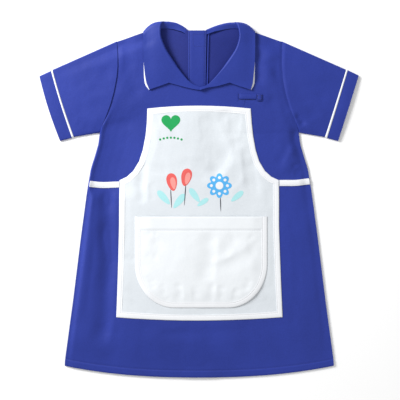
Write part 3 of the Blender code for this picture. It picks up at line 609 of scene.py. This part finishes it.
def sleeve_shape(start, end, sign, proud, span):
    """A tube between two lines: round the fold, over the top, round the fold, under."""
    def place(u, v):
        v = span[0] + (span[1] - span[0]) * v
        share = 0.5 - 0.5 * np.cos(2 * math.pi * u)
        start_x, start_y = cross_line(start, share, sign)
        end_x, end_y = cross_line(end, share, sign)
        x, y = start_x + (end_x - start_x) * v, start_y + (end_y - start_y) * v
        puff = (4 * share * (1 - share)) ** 0.6

        def outer(name, x, y):
            if name == "armhole":
                step = SEAM_STEP[sign] * np.sin(math.pi * share) ** 0.5
                return np.maximum(front_base((x - LAYER_GAP) * sign, y) + CLOTH + step, SLEEVE_EDGE)
            return SLEEVE_EDGE + CUFF_PUFF * puff

        high, low = outer(start, start_x, start_y), outer(end, end_x, end_y)
        top = high + (low - high) * v + 0.6 * MM * np.sin(math.pi * v) * puff
        top = top + creases(SLEEVE_FOLDS[sign], x * sign, y) * puff
        if start == "armhole" and sign > 0:    # the right sleeve dips into its seam
            top = top - 1.5 * MM * smooth((0.03 - v) / 0.03)
        swell = proud * np.sin(math.pi * np.clip(v, 0, 1)) ** 0.5
        radius = SLEEVE_EDGE / 2
        near = np.minimum(share, 1 - share) * FLAT_WIDTH / radius
        fold = np.sqrt(np.clip(1 - np.clip(1 - near, 0, 1) ** 2, 0, 1))
        upper = radius + (top + swell - radius) * fold
        lower = radius - radius * fold
        return x * sign, y, np.where(u < 0.5, upper, lower)
    return place


white_tape = woven("white_tape", (0.84, 0.855, 0.88), (0.77, 0.785, 0.81),
                   roughness=0.7, weave=300.0, crumple=0.0003, sheen=0.2)
SLEEVE_PIECES = [
    # node, start, end, stands proud, stretch, rows, cut, slot
    ("sleeve", "armhole", "sleeve_end", 0, (-0.014, 0.997), 40, (0.30, 0.09), "dress_cloth"),
    ("cuff_piping", "sleeve_end", "cuff_start", 0.6 * MM, (0.02, 0.98), 6, None, "white_tape"),
    ("cuff", "cuff_start", "cuff_end", 0, (0.0, 1.0), 12, (0.238, 0.018), "dress_cloth"),
]
SIDES = (("left", -1), ("right", 1))
for side, sign in SIDES:
    for node, start, end, proud, span, rows, cut, slot in SLEEVE_PIECES:
        piece = cloth_grid(f"{node}_{side}_cloth", 120, rows,
                           sleeve_shape(start, end, sign, proud, span), closed=True)
        fit(piece, white_tape if slot == "white_tape" else blue_cloth, slot, f"{node}_{side}")


# Collar: two halves cut double in the same blue cloth, sewn round the neck and rolled over,
# each with a notched front corner. The roll stands up off the shoulders and the fall lies
# on the front and tucks under the back. The halves meet, slightly lapped, at the front.
COLLAR_CLOTH = 1.4 * MM
COLLAR_CLEAR = 1.5 * MM
# One row per section from centre back to front, left half: neck seam x, y, roll x, y,
# free edge x, y, bulge, level (-1 under the back, 1 on the front), stand and fall height
COLLAR = [
    (-20.5, 278.9, -19.8, 287.4, -21.5, 241.0, 0.0, -1.0, 4.7, 0.9),
    (-30.5, 284.2, -28.0, 293.8, -45.0, 239.0, 0.0, -1.0, 4.7, 0.9),
    (-43.0, 288.0, -38.5, 299.0, -68.0, 245.0, 0.0, -1.0, 4.8, 0.9),
    (-54.0, 289.8, -50.0, 301.2, -85.0, 260.0, 2.0, -1.0, 5.4, 1.6),
    (-62.0, 289.8, -57.5, 301.2, -93.6, 281.0, 4.4, -1.0, 6.2, 3.4),
    (-67.0, 289.3, -61.5, 300.8, -94.2, 284.6, 5.0, 0.2, 7.0, 8.6),
    (-70.4, 286.4, -64.2, 297.0, -94.4, 281.0, 4.0, 1.0, 8.2, 12.0),
    (-72.2, 278.0, -65.6, 288.0, -94.4, 263.0, 2.0, 1.0, 9.2, 13.2),
    (-71.5, 270.0, -65.2, 277.0, -94.0, 245.0, 0.0, 1.0, 9.8, 13.8),
    (-68.5, 260.0, -61.5, 265.0, -93.4, 228.0, 0.0, 1.0, 10.0, 14.1),
    (-62.5, 248.5, -56.0, 253.0, -91.6, 211.0, 0.0, 1.0, 10.0, 14.2),
    (-54.8, 236.0, -48.5, 241.0, -89.0, 197.0, 0.0, 1.0, 9.8, 13.8),
    (-48.6, 227.0, -42.5, 232.0, -84.2, 186.0, 0.0, 1.0, 9.5, 13.2),
    (-43.0, 218.8, -37.0, 223.6, -68.0, 191.6, 0.0, 1.0, 9.0, 12.6),
    (-36.8, 211.0, -31.2, 215.8, -51.4, 197.6, 0.0, 1.0, 8.5, 12.0),
    (-26.8, 199.8, -22.0, 204.4, -31.0, 192.0, 0.0, 1.0, 7.8, 11.1),
    (-15.6, 189.8, -12.0, 194.2, -14.5, 187.6, 0.0, 1.0, 7.1, 10.2),
    (-0.4, 184.2, -0.4, 188.9, -0.4, 184.8, 0.0, 1.0, 7.0, 10.0),
]
CENTRE_BACK_SHIFT = {"left": 0.0, "right": 8.0}
# What the right half, before it is mirrored, adds to the table: row, column, mm
RIGHT_SHIFTS = [
    (1, 3, -1.0), (2, 3, -1.6), (3, 3, -1.7), (4, 3, -1.6), (5, 3, -1.4), (6, 3, -1.0),
    (7, 2, -1.2), (8, 2, -3.0), (9, 2, -4.4), (10, 2, -5.2), (11, 2, -5.0), (12, 2, -4.6),
    (13, 2, -4.2), (14, 2, -3.8), (15, 2, -3.4), (16, 2, -2.6), (11, 4, -1.2), (12, 4, -2.9),
    (12, 5, -0.2), (16, 5, 1.6),
]
# At the centre front the left half runs on under the right one, which lies on top of it
LAP, LAP_RISE = 5.5 * MM, 2.4 * MM
FALL_DROP = 5.5 * MM    # most that the fall sinks from the roll to its free edge
STAND_SHARES = [0.0, 0.45, 0.8, 1.0]
FALL_SHARES = [0.03, 0.10, 0.22, 0.38, 0.56, 0.78, 1.0]
COLLAR_SPACING = 4     # grid columns for each row of the table


def even_curve(values, spots, *column):
    """Smooth values at places counted in rows, down a list or one column of a sheet."""
    last = len(values) - 1
    index = np.clip(spots.astype(int), 0, last - 1)
    share = spots - index
    before, start, end, after = (values[(np.clip(index + step, 0, last), *column)]
                                 for step in (-1, 0, 1, 2))
    bend = (end - before) * share
    square = (before * 2 - start * 5 + end * 4 - after) * share ** 2
    cube = (start * 3 - before - end * 3 + after) * share ** 3
    return (start * 2 + bend + square + cube) * 0.5


def collar_table(side):
    table = np.array(COLLAR)
    for index in range(2):
        table[index, [0, 2, 4]] += CENTRE_BACK_SHIFT[side] * (1 - index / 2)
    if side == "right":
        for row, column, shift in RIGHT_SHIFTS:
            table[row, column] += shift
    return table


def collar_shape(side):
    """The collar's half: each section drawn from its table, then rounded between points."""
    table = collar_table(side)
    spots = np.linspace(0, len(table) - 1, (len(table) - 1) * COLLAR_SPACING + 1)
    straight = [np.interp(spots, np.arange(len(table)), column) for column in table.T]
    seam_x, seam_y, _, _, edge_x, edge_y, bulge = (column * MM for column in straight[:7])
    level, stand, fall = straight[7], straight[8] * MM, straight[9] * MM
    roll_x, roll_y = even_curve(table[:, 2], spots) * MM, even_curve(table[:, 3], spots) * MM
    front_share = (level + 1) / 2
    back_mid = back_left_top(np.abs(seam_x), seam_y) - CLOTH / 2
    front_mid = front_base(np.abs(seam_x), seam_y) + CLOTH / 2
    seam_z = back_mid + (front_mid - back_mid) * front_share
    sections = []
    first = 0.8 * MM / np.hypot(roll_x - seam_x, roll_y - seam_y)
    for share in STAND_SHARES:
        share = np.maximum(share, first)
        z = seam_z + (stand - seam_z) * smooth(share / 0.8)
        if share[0] >= 1:
            z = (stand + fall) / 2
        sections.append((seam_x + (roll_x - seam_x) * share, seam_y + (roll_y - seam_y) * share, z))
    run_x, run_y = edge_x - roll_x, edge_y - roll_y
    length = np.hypot(run_x, run_y)
    lowest = COLLAR_CLOTH / 2 + 0.1 * MM
    drop = FALL_DROP * np.clip(length / (56 * MM) - 0.1, 0.4, 1)
    for share in FALL_SHARES:
        out = bulge * math.sin(math.pi * share)
        x = roll_x + run_x * share + run_y / length * out
        y = roll_y + run_y * share - run_x / length * out
        panel = front_base(x, y) + CLOTH + COLLAR_CLEAR + lowest
        rest = lowest + (panel - lowest) * smooth(front_share)
        rest = rest + np.maximum(fall - drop - rest, 0) * smooth(front_share)
        sections.append((x, y, fall + (rest - fall) * smooth(share / 0.85)))
    sections = np.array(sections)          # across, coordinate, along

    def place(u, v):
        column = np.rint(u * (len(spots) - 1)).astype(int)
        x, y, z = (even_curve(sections[:, axis], v * (len(sections) - 1), column)
                   for axis in range(3))
        near = rise(x, -22, 20)
        if side == "left":
            return x + LAP * near, y - 0.6 * MM * near, z - 0.5 * MM * near
        return -x, y, z + LAP_RISE * near
    return place


collar_cloth = woven("collar_cloth", (0.0245, 0.0465, 0.31), (0.018, 0.0345, 0.238),
                     roughness=0.5, weave=260.0, crumple=0.0007, sheen=0.35)
for side, _ in SIDES:
    half = cloth_grid(f"collar_{side}_cloth", (len(COLLAR) - 1) * COLLAR_SPACING, 40,
                      collar_shape(side), wall=COLLAR_CLOTH, offset=0)
    fit(half, collar_cloth, "dress_cloth", f"collar_{side}")


# Collar edging: a narrow strip of folded white tape caught under each half's outer side,
# of which a thin crescent shows.
def moved_in(points, distance):
    """An open line of points moved square to itself, to its left, with mitred corners."""
    points = np.array(points)
    runs = np.diff(points, axis=0)
    runs = runs / np.hypot(*runs.T)[:, None]
    before, after = np.vstack([runs[:1], runs]), np.vstack([runs, runs[-1:]])
    middle = before + after
    middle = middle / np.hypot(*middle.T)[:, None]
    reach = distance / (middle * after).sum(axis=1)
    return points + np.stack([-middle[:, 1] * reach, middle[:, 0] * reach], axis=1)


EDGING_WIDTH = 4 * MM
# Row of the collar's table and width that shows, mm
EDGING_SHOWS = {
    "left": [(8.6, 0.1), (9, 0.5), (9.5, 1.1), (10, 1.9), (10.5, 2.7), (11, 3.0), (11.5, 2.5),
             (12, 0.8)],
    "right": [(8.6, 0.2), (9, 0.7), (9.5, 1.4), (10, 2.2), (10.5, 2.9), (11, 3.0), (11.5, 2.3),
              (12, 0.7)],
}
EDGING_THICK = {"left": 1.2 * MM, "right": 2.0 * MM}
CORD_PROFILE = [(0, 0.1), (0.08, 0.75), (0.2, 1), (0.5, 1), (0.8, 0.9), (1, 0.7)]


def on_front(x, y):
    return front_top(x, y) + LAYER_GAP


for side, sign in SIDES:
    table, rows = collar_table(side), np.array(EDGING_SHOWS[side])
    spots = np.linspace(rows[0, 0], rows[-1, 0], 29)
    edge = np.stack([np.interp(spots, np.arange(len(table)), table[:, column]) * MM
                     for column in (4, 5)], axis=1)
    shows = even_curve(rows[:, 1], np.interp(spots, rows[:, 0], np.arange(len(rows)))) * MM
    outer = edge + (moved_in(edge, -1.0) - edge) * shows[:, None]
    inner = moved_in(edge, EDGING_WIDTH)
    edging = strip(f"collar_edging_{side}_tape", outer * (-sign, 1), inner * (-sign, 1),
                   on_front, EDGING_THICK[side], CORD_PROFILE, 10, 0.3 * MM)
    fit(edging, white_tape, "white_tape", f"collar_piping_{side}")


# Apron: a bib apron of thin white polyester sewn flat on the front, its whole edge bound in
# folded white tape and topstitched along the tape's inner edge. It follows the folds of the
# dress under it and has small wrinkles of its own.
APRON_CENTRE = -1 * MM
APRON_TOP_Y, APRON_TOP_DROP = 159 * MM, 4.8 * MM
APRON_BOTTOM_Y, APRON_BOW = -198.5 * MM, 5.5 * MM
APRON_CLOTH = 1.0 * MM
TAPE_CLOTH = 1.3 * MM
BINDING = 9.7 * MM
CLOTH_ENDS = BINDING - 0.4 * MM         # the bound cloth's edge, just under the tape's
SEAM_SHARE, SEAM_LEVEL = 0.79, 0.68     # the stitches' place across the tape and up it
WRINKLE_DEEPEST = 0.55 * MM
# Side of the apron from its top corner to its bottom one: half width, y, mm
APRON_SIDE = [
    (87.6, 154.2), (89.2, 128.0), (91.6, 108.0), (96.4, 84.6), (103.0, 65.0), (113.0, 49.0),
    (124.0, 39.0), (136.6, 33.2), (137.1, 0.0), (137.9, -45.0), (138.6, -90.0), (139.4, -135.0),
    (140.4, -198.5),
]
# How far each side lies outside that even outline: y, left, right, mm
APRON_OFF = [
    (-191, -1.2, 1.5), (-162, -1.9, 0.7), (-128, -2.7, -0.5), (-94, -2.9, -1.0),
    (-60, -3.4, -2.0), (-26, -3.2, -1.9), (8, -2.7, -0.8), (51, -2.4, -0.9), (85, -2.0, 0.0),
    (119, -1.6, 0.9), (149, -0.8, 0.4),
]
# Wrinkles of the apron's own cloth, in the columns of BACK_CREASES
APRON_WRINKLES = [
    (46, 94, 24, 52, 6, -0.9, 3), (78, 78, 82, 22, 5, -0.9, 2), (68, 72, 73, 30, 5, 0.5, 0),
    (-98, 60, -54, 50, 6, -0.9, -2), (126, -20, 128, -170, 5, -0.8, 2),
    (133, -60, 131, -180, 4, 0.4, 0), (56, -190, 128, -178, 7, -1.0, 2),
    (112, -146, 134, -188, 6, -0.9, 0), (-134, -174, -84, -193, 7, -0.8, 2),
    (12, 140, 14, 96, 8, -0.8, 2), (-30, 60, 20, 52, 7, -0.5, 2),
    (-20, -192, 50, -186, 6, -0.6, 0), (59, 146, 57, 108, 7, -1.2, 0),
    (35, 130, 32, 42, 10, -1.3, 3), (124, 32, 126, -34, 9, -0.9, 0),
    (-40, 96, 10, 84, 9, -0.5, 3), (70, 60, 40, 20, 8, -0.7, 3), (24, 150, 14, 66, 6, -0.5, 2),
    (52, 146, 74, 104, 5, -0.6, -3), (46, 84, 26, 46, 5, -0.6, 2), (-99, 62, -100, 0, 4, -0.6, 0),
    (-78, 30, -80, 0, 4, -0.5, 0), (88, 66, 97, 12, 4, -0.7, 0), (118, 16, 121, -12, 4, -0.5, 0),
    (-64, 150, -40, 100, 6, -0.5, 4), (-20, 40, -60, 70, 6, 0.4, 3), (10, 30, 60, 20, 5, 0.4, -3),
    (-125, -96, -112, -102, 4, -0.8, 1), (0, -186, 40, -191, 4, -0.4, 0),
    (-118, -150, -60, -190, 5, -0.5, -3), (122, -60, 126, -150, 5, -0.5, 2),
    (60, 136, 70, 60, 6, 0.5, 5), (-82, 140, -72, 90, 5, 0.4, 2),
    (104, -168, 70, -192, 5, -0.5, 3), (-126, 10, -128, -80, 5, -0.4, 2),
]


def apron_lines(inset):
    """Half of the apron's edge, moved in: top from the middle, side down, bottom in."""
    side = moved_in(np.array(APRON_SIDE) * MM, -inset)
    shares = np.array([0.0, 0.25, 0.5, 0.75, 1.0])
    drop = APRON_TOP_DROP * shares ** 2
    top = np.stack([side[0, 0] * shares, APRON_TOP_Y - drop - inset], axis=1)
    side[0] = top[-1]
    shares = np.array([1.0, 0.8, 0.6, 0.4, 0.2, 0.0])
    bow = APRON_BOW * (1 - shares ** 2)
    bottom = np.stack([side[-1, 0] * shares, APRON_BOTTOM_Y - bow + inset], axis=1)
    side[-1] = bottom[0]
    return top, side, bottom


def apron_laid(points):
    """Points of the even outline moved to where the sides really lie."""
    rows, (x, y) = np.array(APRON_OFF) * MM, np.array(points).T
    left, right = (np.interp(y, rows[:, 0], rows[:, column]) for column in (1, 2))
    off = np.where(x < 0, left, right)
    return np.stack([x + np.sign(x) * off * np.clip(np.abs(x) / (88 * MM), 0, 1) ** 2, y], axis=1)


def apron_top(x, y):
    """Top of the apron: its wrinkles, which never press it down through its own thickness."""
    wrinkle = creases(APRON_WRINKLES, x, y) * 0.8
    pressed = WRINKLE_DEEPEST * np.tanh(wrinkle / WRINKLE_DEEPEST)
    wrinkle = np.where(wrinkle < 0, pressed, wrinkle)
    return on_front(x, y) + APRON_CLOTH + wrinkle


def apron_shape(u, v):
    top, side, bottom = apron_lines(CLOTH_ENDS)
    across = u * 2 - 1
    order = np.argsort(side[:, 1])

    def at(y):
        return np.interp(y, side[order, 1], side[order, 0]) * across

    low, high = np.full_like(u, bottom[0, 1]), np.full_like(u, top[-1, 1])
    for _ in range(4):
        low = np.interp(np.abs(at(low)), bottom[::-1, 0], bottom[::-1, 1])
        high = np.interp(np.abs(at(high)), top[:, 0], top[:, 1])
    y = low + (high - low) * v
    x, y = apron_laid(np.stack([at(y) + APRON_CENTRE, y], axis=1)).T
    return x, y, apron_top(x, y)


white_cloth = woven("white_cloth", (0.705, 0.745, 0.78), (0.63, 0.67, 0.71),
                    roughness=0.72, weave=300.0, crumple=0.0009, sheen=0.15)
apron = cloth_grid("apron_cloth", 104, 140, apron_shape, wall=THIN_WALL)
fit(apron, white_cloth, "apron_cloth", "apron")

BOUND_PROFILE = [(0, 0.1), (0.03, 0.5), (0.09, 0.8), (0.2, 0.96), (0.5, 1.0), (0.68, 1.0),
                 (0.76, 0.84), (0.82, 0.82), (0.88, 0.96), (0.95, 0.95), (1.0, 0.85)]
APRON_MIDDLE = (APRON_CENTRE, 0)


def bound_edge(name, outer, inner, under, node, cut, rests):
    piece = strip(name, outer, inner, under, TAPE_CLOTH, BOUND_PROFILE, 20)
    fit(piece, white_tape, "white_tape", node)


def mirrored(points):
    return (np.array(points) * (-1, 1))[::-1]


outside, inside = apron_lines(0.0), apron_lines(BINDING)
tops = [apron_laid(np.vstack([mirrored(top), top[1:]]) + APRON_MIDDLE)
        for top, _, _ in (outside, inside)]
bottoms = [apron_laid(np.vstack([bottom, mirrored(bottom)[1:]]) + APRON_MIDDLE)
           for _, _, bottom in (outside, inside)]
bound_edge("apron_top_binding", *tops, on_front, "apron_binding_top", (0.175, 0.01),
           ["front_cloth"])
bound_edge("apron_bottom_binding", *bottoms, on_front, "apron_binding_bottom", (0.281, 0.01),
           ["front_cloth"])
for side, sign in SIDES:
    lines = [apron_laid(line * (sign, 1) + APRON_MIDDLE) for _, line, _ in (outside, inside)]
    bound_edge(f"apron_{side}_binding", *lines, on_front, f"apron_binding_{side}", (0.385, 0.01),
               ["front_cloth"])

white_thread = thread("white_thread", (0.62, 0.64, 0.69))
top, side, bottom = apron_lines(BINDING * SEAM_SHARE)
apron_seam = np.vstack([top, side[1:], bottom[1:]])
both_sides = [apron_laid(apron_seam * (sign, 1) + APRON_MIDDLE) for sign in (1, -1)]
apron_stitches = stitching("apron_stitching", both_sides,
                           lambda x, y: on_front(x, y) + TAPE_CLOTH * SEAM_LEVEL)
fit(apron_stitches, white_thread, "white_tape")


# Waist tapes: two short white folded tapes, stitched along both edges, that run from the
# apron's waist corners to the side seams and are caught in them.
TAPE_WIDTH = 10.4 * MM
# Middle of each tape: distance from the middle, y, both mm
TAPE_LINES = {
    "left": [(135.6, 25.9), (148, 25.5), (156, 25.0), (164, 25.0), (170, 25.3), (176, 25.9),
             (182, 27.2)],
    "right": [(135.4, 28.4), (148, 28.5), (156, 28.4), (164, 28.6), (170, 29.2), (176, 30.2),
              (182, 31.3)],
}
TAPE_PROFILE = [(0, 0.1), (0.04, 0.6), (0.09, 0.85), (0.15, 0.68), (0.21, 0.9), (0.3, 1.0),
                (0.7, 1.0), (0.79, 0.9), (0.85, 0.68), (0.91, 0.85), (0.96, 0.6), (1, 0.1)]
for side, sign in SIDES:
    line = np.array(TAPE_LINES[side]) * MM
    upper, lower = line + (0, TAPE_WIDTH / 2), line - (0, TAPE_WIDTH / 2)
    for edge in (upper, lower):
        edge[-1, 0] = body_half(edge[-1, 1]) - 0.8 * MM
    tape = strip(f"waist_{side}_tape", upper * (sign, 1), lower * (sign, 1), on_front, TAPE_CLOTH,
                 TAPE_PROFILE, 22)
    fit(tape, white_tape, "white_tape", f"waist_tape_{side}")


# Pocket: a wide patch pocket of the same white polyester with rounded lower corners, bound
# like the apron round its sides and bottom and sewn on there. Its top is turned down and
# stitched, and stands a little open.
POCKET_CENTRE = 3.2 * MM
POCKET_HALF = 111.7 * MM
POCKET_TOP_Y, POCKET_BOTTOM_Y = -28.1 * MM, -182.3 * MM
POCKET_CORNER = (66 * MM, 74 * MM)
POCKET_PUFF = 2.0 * MM
POCKET_HEM_Y = -51 * MM
# Folds of the pocket, in the columns of BACK_CREASES
POCKET_FOLDS = [
    (11, -58, 6, -140, 11, -1.6, 2), (14, -96, 58, -62, 9, -1.0, -5),
    (26, -120, 98, -86, 9, -1.0, -4), (-60, -62, -88, -120, 12, -0.5, 4),
    (-36, -142, -37, -176, 5, -0.8, 1), (-6, -148, -5, -178, 5, -0.7, 1),
    (20, -140, 18, -178, 5, -0.8, -1), (38, -146, 40, -176, 5, -0.7, 1),
    (-91, -56, -72, -60, 4, -0.5, 0), (-91, -92, -70, -98, 5, -0.4, 2),
    (-90, -56, -66, -84, 7, -0.4, 0), (-20, -70, -40, -130, 10, 0.4, 4),
    (70, -70, 96, -120, 7, 0.5, -3), (86, -60, 108, -76, 5, -0.6, 0),
    (-66, -146, -54, -170, 5, -0.6, 0), (66, -150, 60, -172, 5, -0.7, 0),
    (84, -134, 74, -152, 5, -0.6, 0), (-84, -128, -74, -146, 5, -0.6, 0),
]


def pocket_line(inset):
    width, height = POCKET_CORNER[0] - inset, POCKET_CORNER[1] - inset
    centre_x, centre_y = POCKET_HALF - POCKET_CORNER[0], POCKET_BOTTOM_Y + POCKET_CORNER[1]
    turn = np.linspace(0, math.pi / 2, 17)
    corner = np.stack([centre_x + width * np.cos(turn), centre_y - height * np.sin(turn)], axis=1)
    return np.vstack([[POCKET_HALF - inset, POCKET_TOP_Y], corner])


def pocket_base(x, y):
    inside = POCKET_HALF - np.abs(x - POCKET_CENTRE)
    seam = rise(inside, 0, 30) * rise(y - POCKET_BOTTOM_Y, 0, 30)
    puff = np.maximum(POCKET_PUFF + creases(POCKET_FOLDS, x, y), 0)
    return on_front(x, y) + APRON_CLOTH + 0.1 * MM + puff * seam


def pocket_top(x, y):
    pressed = 0.4 * groove(y - POCKET_HEM_Y, 1.3)
    proud = 0.3 * rise(y - POCKET_HEM_Y, 0, 2)
    rounded = 0.4 * groove(y - POCKET_TOP_Y, 1.2)
    return pocket_base(x, y) + APRON_CLOTH + (proud - pressed - rounded) * MM


def pocket_shape(u, v):
    line = pocket_line(CLOTH_ENDS)[::-1]
    v = np.interp(v, [0, 0.16, 0.8, 1], [0, 0.09, 0.83, 1])    # closer rows at both ends
    y = line[0, 1] + (line[-1, 1] - line[0, 1]) * v
    x = np.interp(y, line[:, 1], line[:, 0]) * (u * 2 - 1) + POCKET_CENTRE
    return x, y, pocket_top(x, y)


pocket_cloth = woven("pocket_cloth", (0.81, 0.84, 0.865), (0.75, 0.78, 0.81),
                     roughness=0.7, weave=300.0, crumple=0.0008, sheen=0.15)
pocket = cloth_grid("pocket_cloth", 84, 76, pocket_shape, wall=THIN_WALL)
fit(pocket, pocket_cloth, "apron_cloth", "pocket")


def pocket_round(inset):
    """Down one side, round the bottom and up the other side."""
    line = pocket_line(inset)
    return np.vstack([line, mirrored(line)]) + (POCKET_CENTRE, 0)


bound_edge("pocket_edge_binding", pocket_round(0.0), pocket_round(BINDING), pocket_base,
           "pocket_binding", (0.44, 0.01), ["apron_cloth"])
pocket_stitches = stitching("pocket_stitching", [pocket_round(BINDING * SEAM_SHARE)],
                            lambda x, y: pocket_base(x, y) + TAPE_CLOTH * SEAM_LEVEL)
fit(pocket_stitches, white_thread, "apron_cloth")
hem_ends = [(POCKET_CENTRE + reach * MM, POCKET_HEM_Y) for reach in (-101, 101)]
pocket_hem = stitching("pocket_hem_stitching", [hem_ends], pocket_top)
fit(pocket_hem, white_thread, "apron_cloth")


# Chest tab: a narrow folded tab of blue cloth sewn under the right collar tip, with a
# thicker stitched end block.
TAB_UPPER, TAB_LOWER = [(67.4, 179.2), (96, 179.2)], [(67.4, 169.7), (96, 169.7)]
TAB_END = ((96.5, 106.3), (167.6, 178.4))
TAB_THICK, TAB_END_THICK = 1.3 * MM, 1.9 * MM
tab = strip("chest_tab_cloth", np.array(TAB_UPPER) * MM, np.array(TAB_LOWER) * MM, on_front,
            TAB_THICK, TAPE_PROFILE, 16)
fit(tab, blue_cloth, "dress_cloth", "badge_tab")
tab_end = strip("chest_tab_end_cloth", *rectangle_lines(*TAB_END), on_front, TAB_END_THICK,
                TAPE_PROFILE, 18)
fit(tab_end, blue_cloth, "dress_cloth", "badge_tab_end")
tab_seams = [np.array(line) * MM for line in (
    [(67, 179), (67, 169.4), (96, 169.4)],
    [(98.2, 176.6), (98.2, 169.4), (104.6, 169.4), (104.6, 176.6), (98.2, 176.6)],
)]


def tab_top(x, y):
    return on_front(x, y) + np.where(x > TAB_END[0][0] * MM, 1.5, 0.2) * MM


tab_stitches = stitching("chest_tab_stitching", tab_seams, tab_top, width=1.0 * MM)
fit(tab_stitches, thread("navy_thread", (0.008, 0.012, 0.07)), "dress_cloth")


# Prints: a plain green heart over seven dots on the apron's bib, and simple flowers above
# the pocket, screen printed as flat thin ink on the white cloth.
INK = 0.12 * MM    # room for each layer of it


def ink(name, colour):
    """Matt screen-print ink, slightly uneven where the weave shows through."""
    return woven(name, colour, tuple(part * 0.88 for part in colour),
                 roughness=0.6, weave=300.0, crumple=0.0003, sheen=0.0)


INKS = {name: ink(name + "_ink", colour) for name, colour in (
    ("green", (0.018, 0.36, 0.10)), ("sky_blue", (0.10, 0.45, 0.85)),
    ("coral", (0.80, 0.13, 0.12)), ("pink", (0.90, 0.33, 0.30)),
    ("pale_aqua", (0.42, 0.78, 0.80)), ("dark", (0.05, 0.05, 0.07)),
    ("white", (0.85, 0.87, 0.89)),
)}


def printed(name, colour, centre, outline, turn=0.0, layer=1, sides=72, rings=6):
    """A flat printed shape: outline(angle) gives the points of its edge in millimetres."""
    def place(u, v):
        across, up = outline(2 * math.pi * u)
        x = (centre[0] + (across * math.cos(turn) - up * math.sin(turn)) * v) * MM
        y = (centre[1] + (across * math.sin(turn) + up * math.cos(turn)) * v) * MM
        return x, y, apron_top(x, y) + INK * layer

    shape = cloth_grid(name, sides, rings, place, wall=0, closed=True)
    fit(shape, INKS[colour], "apron_cloth")


def disc(size):
    return lambda angle: (size * np.cos(angle), size * np.sin(angle))


def petals(count, size, depth):
    def outline(angle):
        reach = size * (1 - depth + depth * np.abs(np.cos(count * angle / 2)) ** 0.8)
        return reach * np.cos(angle), reach * np.sin(angle)
    return outline


def leaf(length, width):
    return lambda angle: (length * np.cos(angle),
                          width * np.sin(angle) * (1 + 0.25 * np.cos(angle)))


def heart(size):
    """The usual heart: two round lobes above a point."""
    def outline(angle):
        up = 13 * np.cos(angle) - 5 * np.cos(2 * angle) - 2 * np.cos(3 * angle) - np.cos(4 * angle)
        return size * np.sin(angle) ** 3, size / 16 * up
    return outline


printed("heart_print", "green", (-48, 131), heart(16))
for number in range(7):
    place = (-66 + 6 * number, 105 - 0.35 * (number - 3) ** 2)
    printed(f"dot_print_{number}", "green", place, disc(1.9), sides=24, rings=2)

DAISY_X, DAISY_Y, PETALS, PETAL_RING = 34, 24, 8, 13.5
printed("daisy_print", "sky_blue", (DAISY_X, DAISY_Y), petals(PETALS, 21, 0.34), layer=1)
printed("daisy_heart_print", "white", (DAISY_X, DAISY_Y), disc(6.5), layer=2, sides=40, rings=3)
for number in range(PETALS):
    angle = math.pi * 2 * number / PETALS
    spot = (DAISY_X + PETAL_RING * math.cos(angle), DAISY_Y + PETAL_RING * math.sin(angle))
    printed(f"petal_dot_print_{number}", "white", spot, disc(2.5), layer=2, sides=24, rings=2)
for number, (x, y, size, turn) in enumerate(((-46, 30, 12, 1.75), (-22, 38, 12, 1.35))):
    printed(f"tulip_print_{number}", "coral", (x, y), leaf(size * 1.25, size * 0.72), turn)
    printed(f"tulip_petal_print_{number}", "pink", (x + 2, y - 2), leaf(size * 0.85, size * 0.36),
            turn, layer=2)
for number, (x, y, length, turn) in enumerate((
        (-60, 4, 15, 2.3), (-34, -2, 15, 0.9), (-8, 8, 14, 2.2), (64, 6, 13, 0.7),
        (6, -4, 11, 0.6))):
    printed(f"leaf_print_{number}", "pale_aqua", (x, y), leaf(length, length * 0.36), turn)
for number, (x, y, length, turn) in enumerate((
        (-47.5, 2, 16, 1.62), (-24, 8, 18, 1.5), (36, -8, 12, 1.6))):
    printed(f"stem_print_{number}", "dark", (x, y), leaf(length, 0.8), turn, sides=48, rings=2)


# Table, light and camera: a plain pale surface, one large soft light from the upper left
# with a weak one opposite, and a camera straight above.
bpy.ops.object.select_all(action="DESELECT")
bpy.ops.mesh.primitive_plane_add(size=3, location=(0, 0, 0))
floor = bpy.context.object
floor.name = "floor"
floor.location.z = -0.2 * MM
bpy.ops.object.transform_apply(location=True)
floor_paint = bpy.data.materials.new("pale_table")
floor_paint.use_nodes = True
feed(floor_paint.node_tree, floor_paint.node_tree.nodes["Principled BSDF"], {
    "Base Color": (0.97, 0.97, 0.97, 1),
    "Roughness": 0.8,
    "Specular IOR Level": 0.1,
    "Emission Color": (1, 1, 1, 1),
    "Emission Strength": 0.02,
})
floor.data.materials.append(floor_paint)


def soft_light(name, place, power, size):
    """A square light that faces the middle of the dress."""
    bpy.ops.object.light_add(type="AREA", location=place)
    light = bpy.context.object
    light.name = name
    light.data.energy, light.data.size = power, size
    x, y, z = place
    light.rotation_euler = (math.atan2(math.hypot(x, y), z), 0, math.atan2(y, x) + math.pi / 2)


soft_light("window_light", (-1.4, 1.05, 1.0), power=52, size=0.7)
soft_light("fill_light", (1.3, -0.7, 1.6), power=5, size=1.4)
world = bpy.data.worlds.new("room")
bpy.context.scene.world = world
world.use_nodes = True
feed(world.node_tree, world.node_tree.nodes["Background"],
     {"Color": (1, 1, 1, 1), "Strength": 0.52})

LENS, SENSOR, FRAME_WIDTH = 85, 36, 0.6765    # mm, mm and metres at the dress's height
CAMERA_Z = FRAME_WIDTH * LENS / SENSOR + 6 * MM
bpy.ops.object.camera_add(location=(1.2 * MM, -0.25 * MM, CAMERA_Z))
camera = bpy.context.object
camera.data.lens = LENS
camera.data.sensor_width = SENSOR
camera.data.dof.use_dof = False
bpy.context.scene.camera = camera
bpy.context.scene.view_settings.view_transform = "Standard"
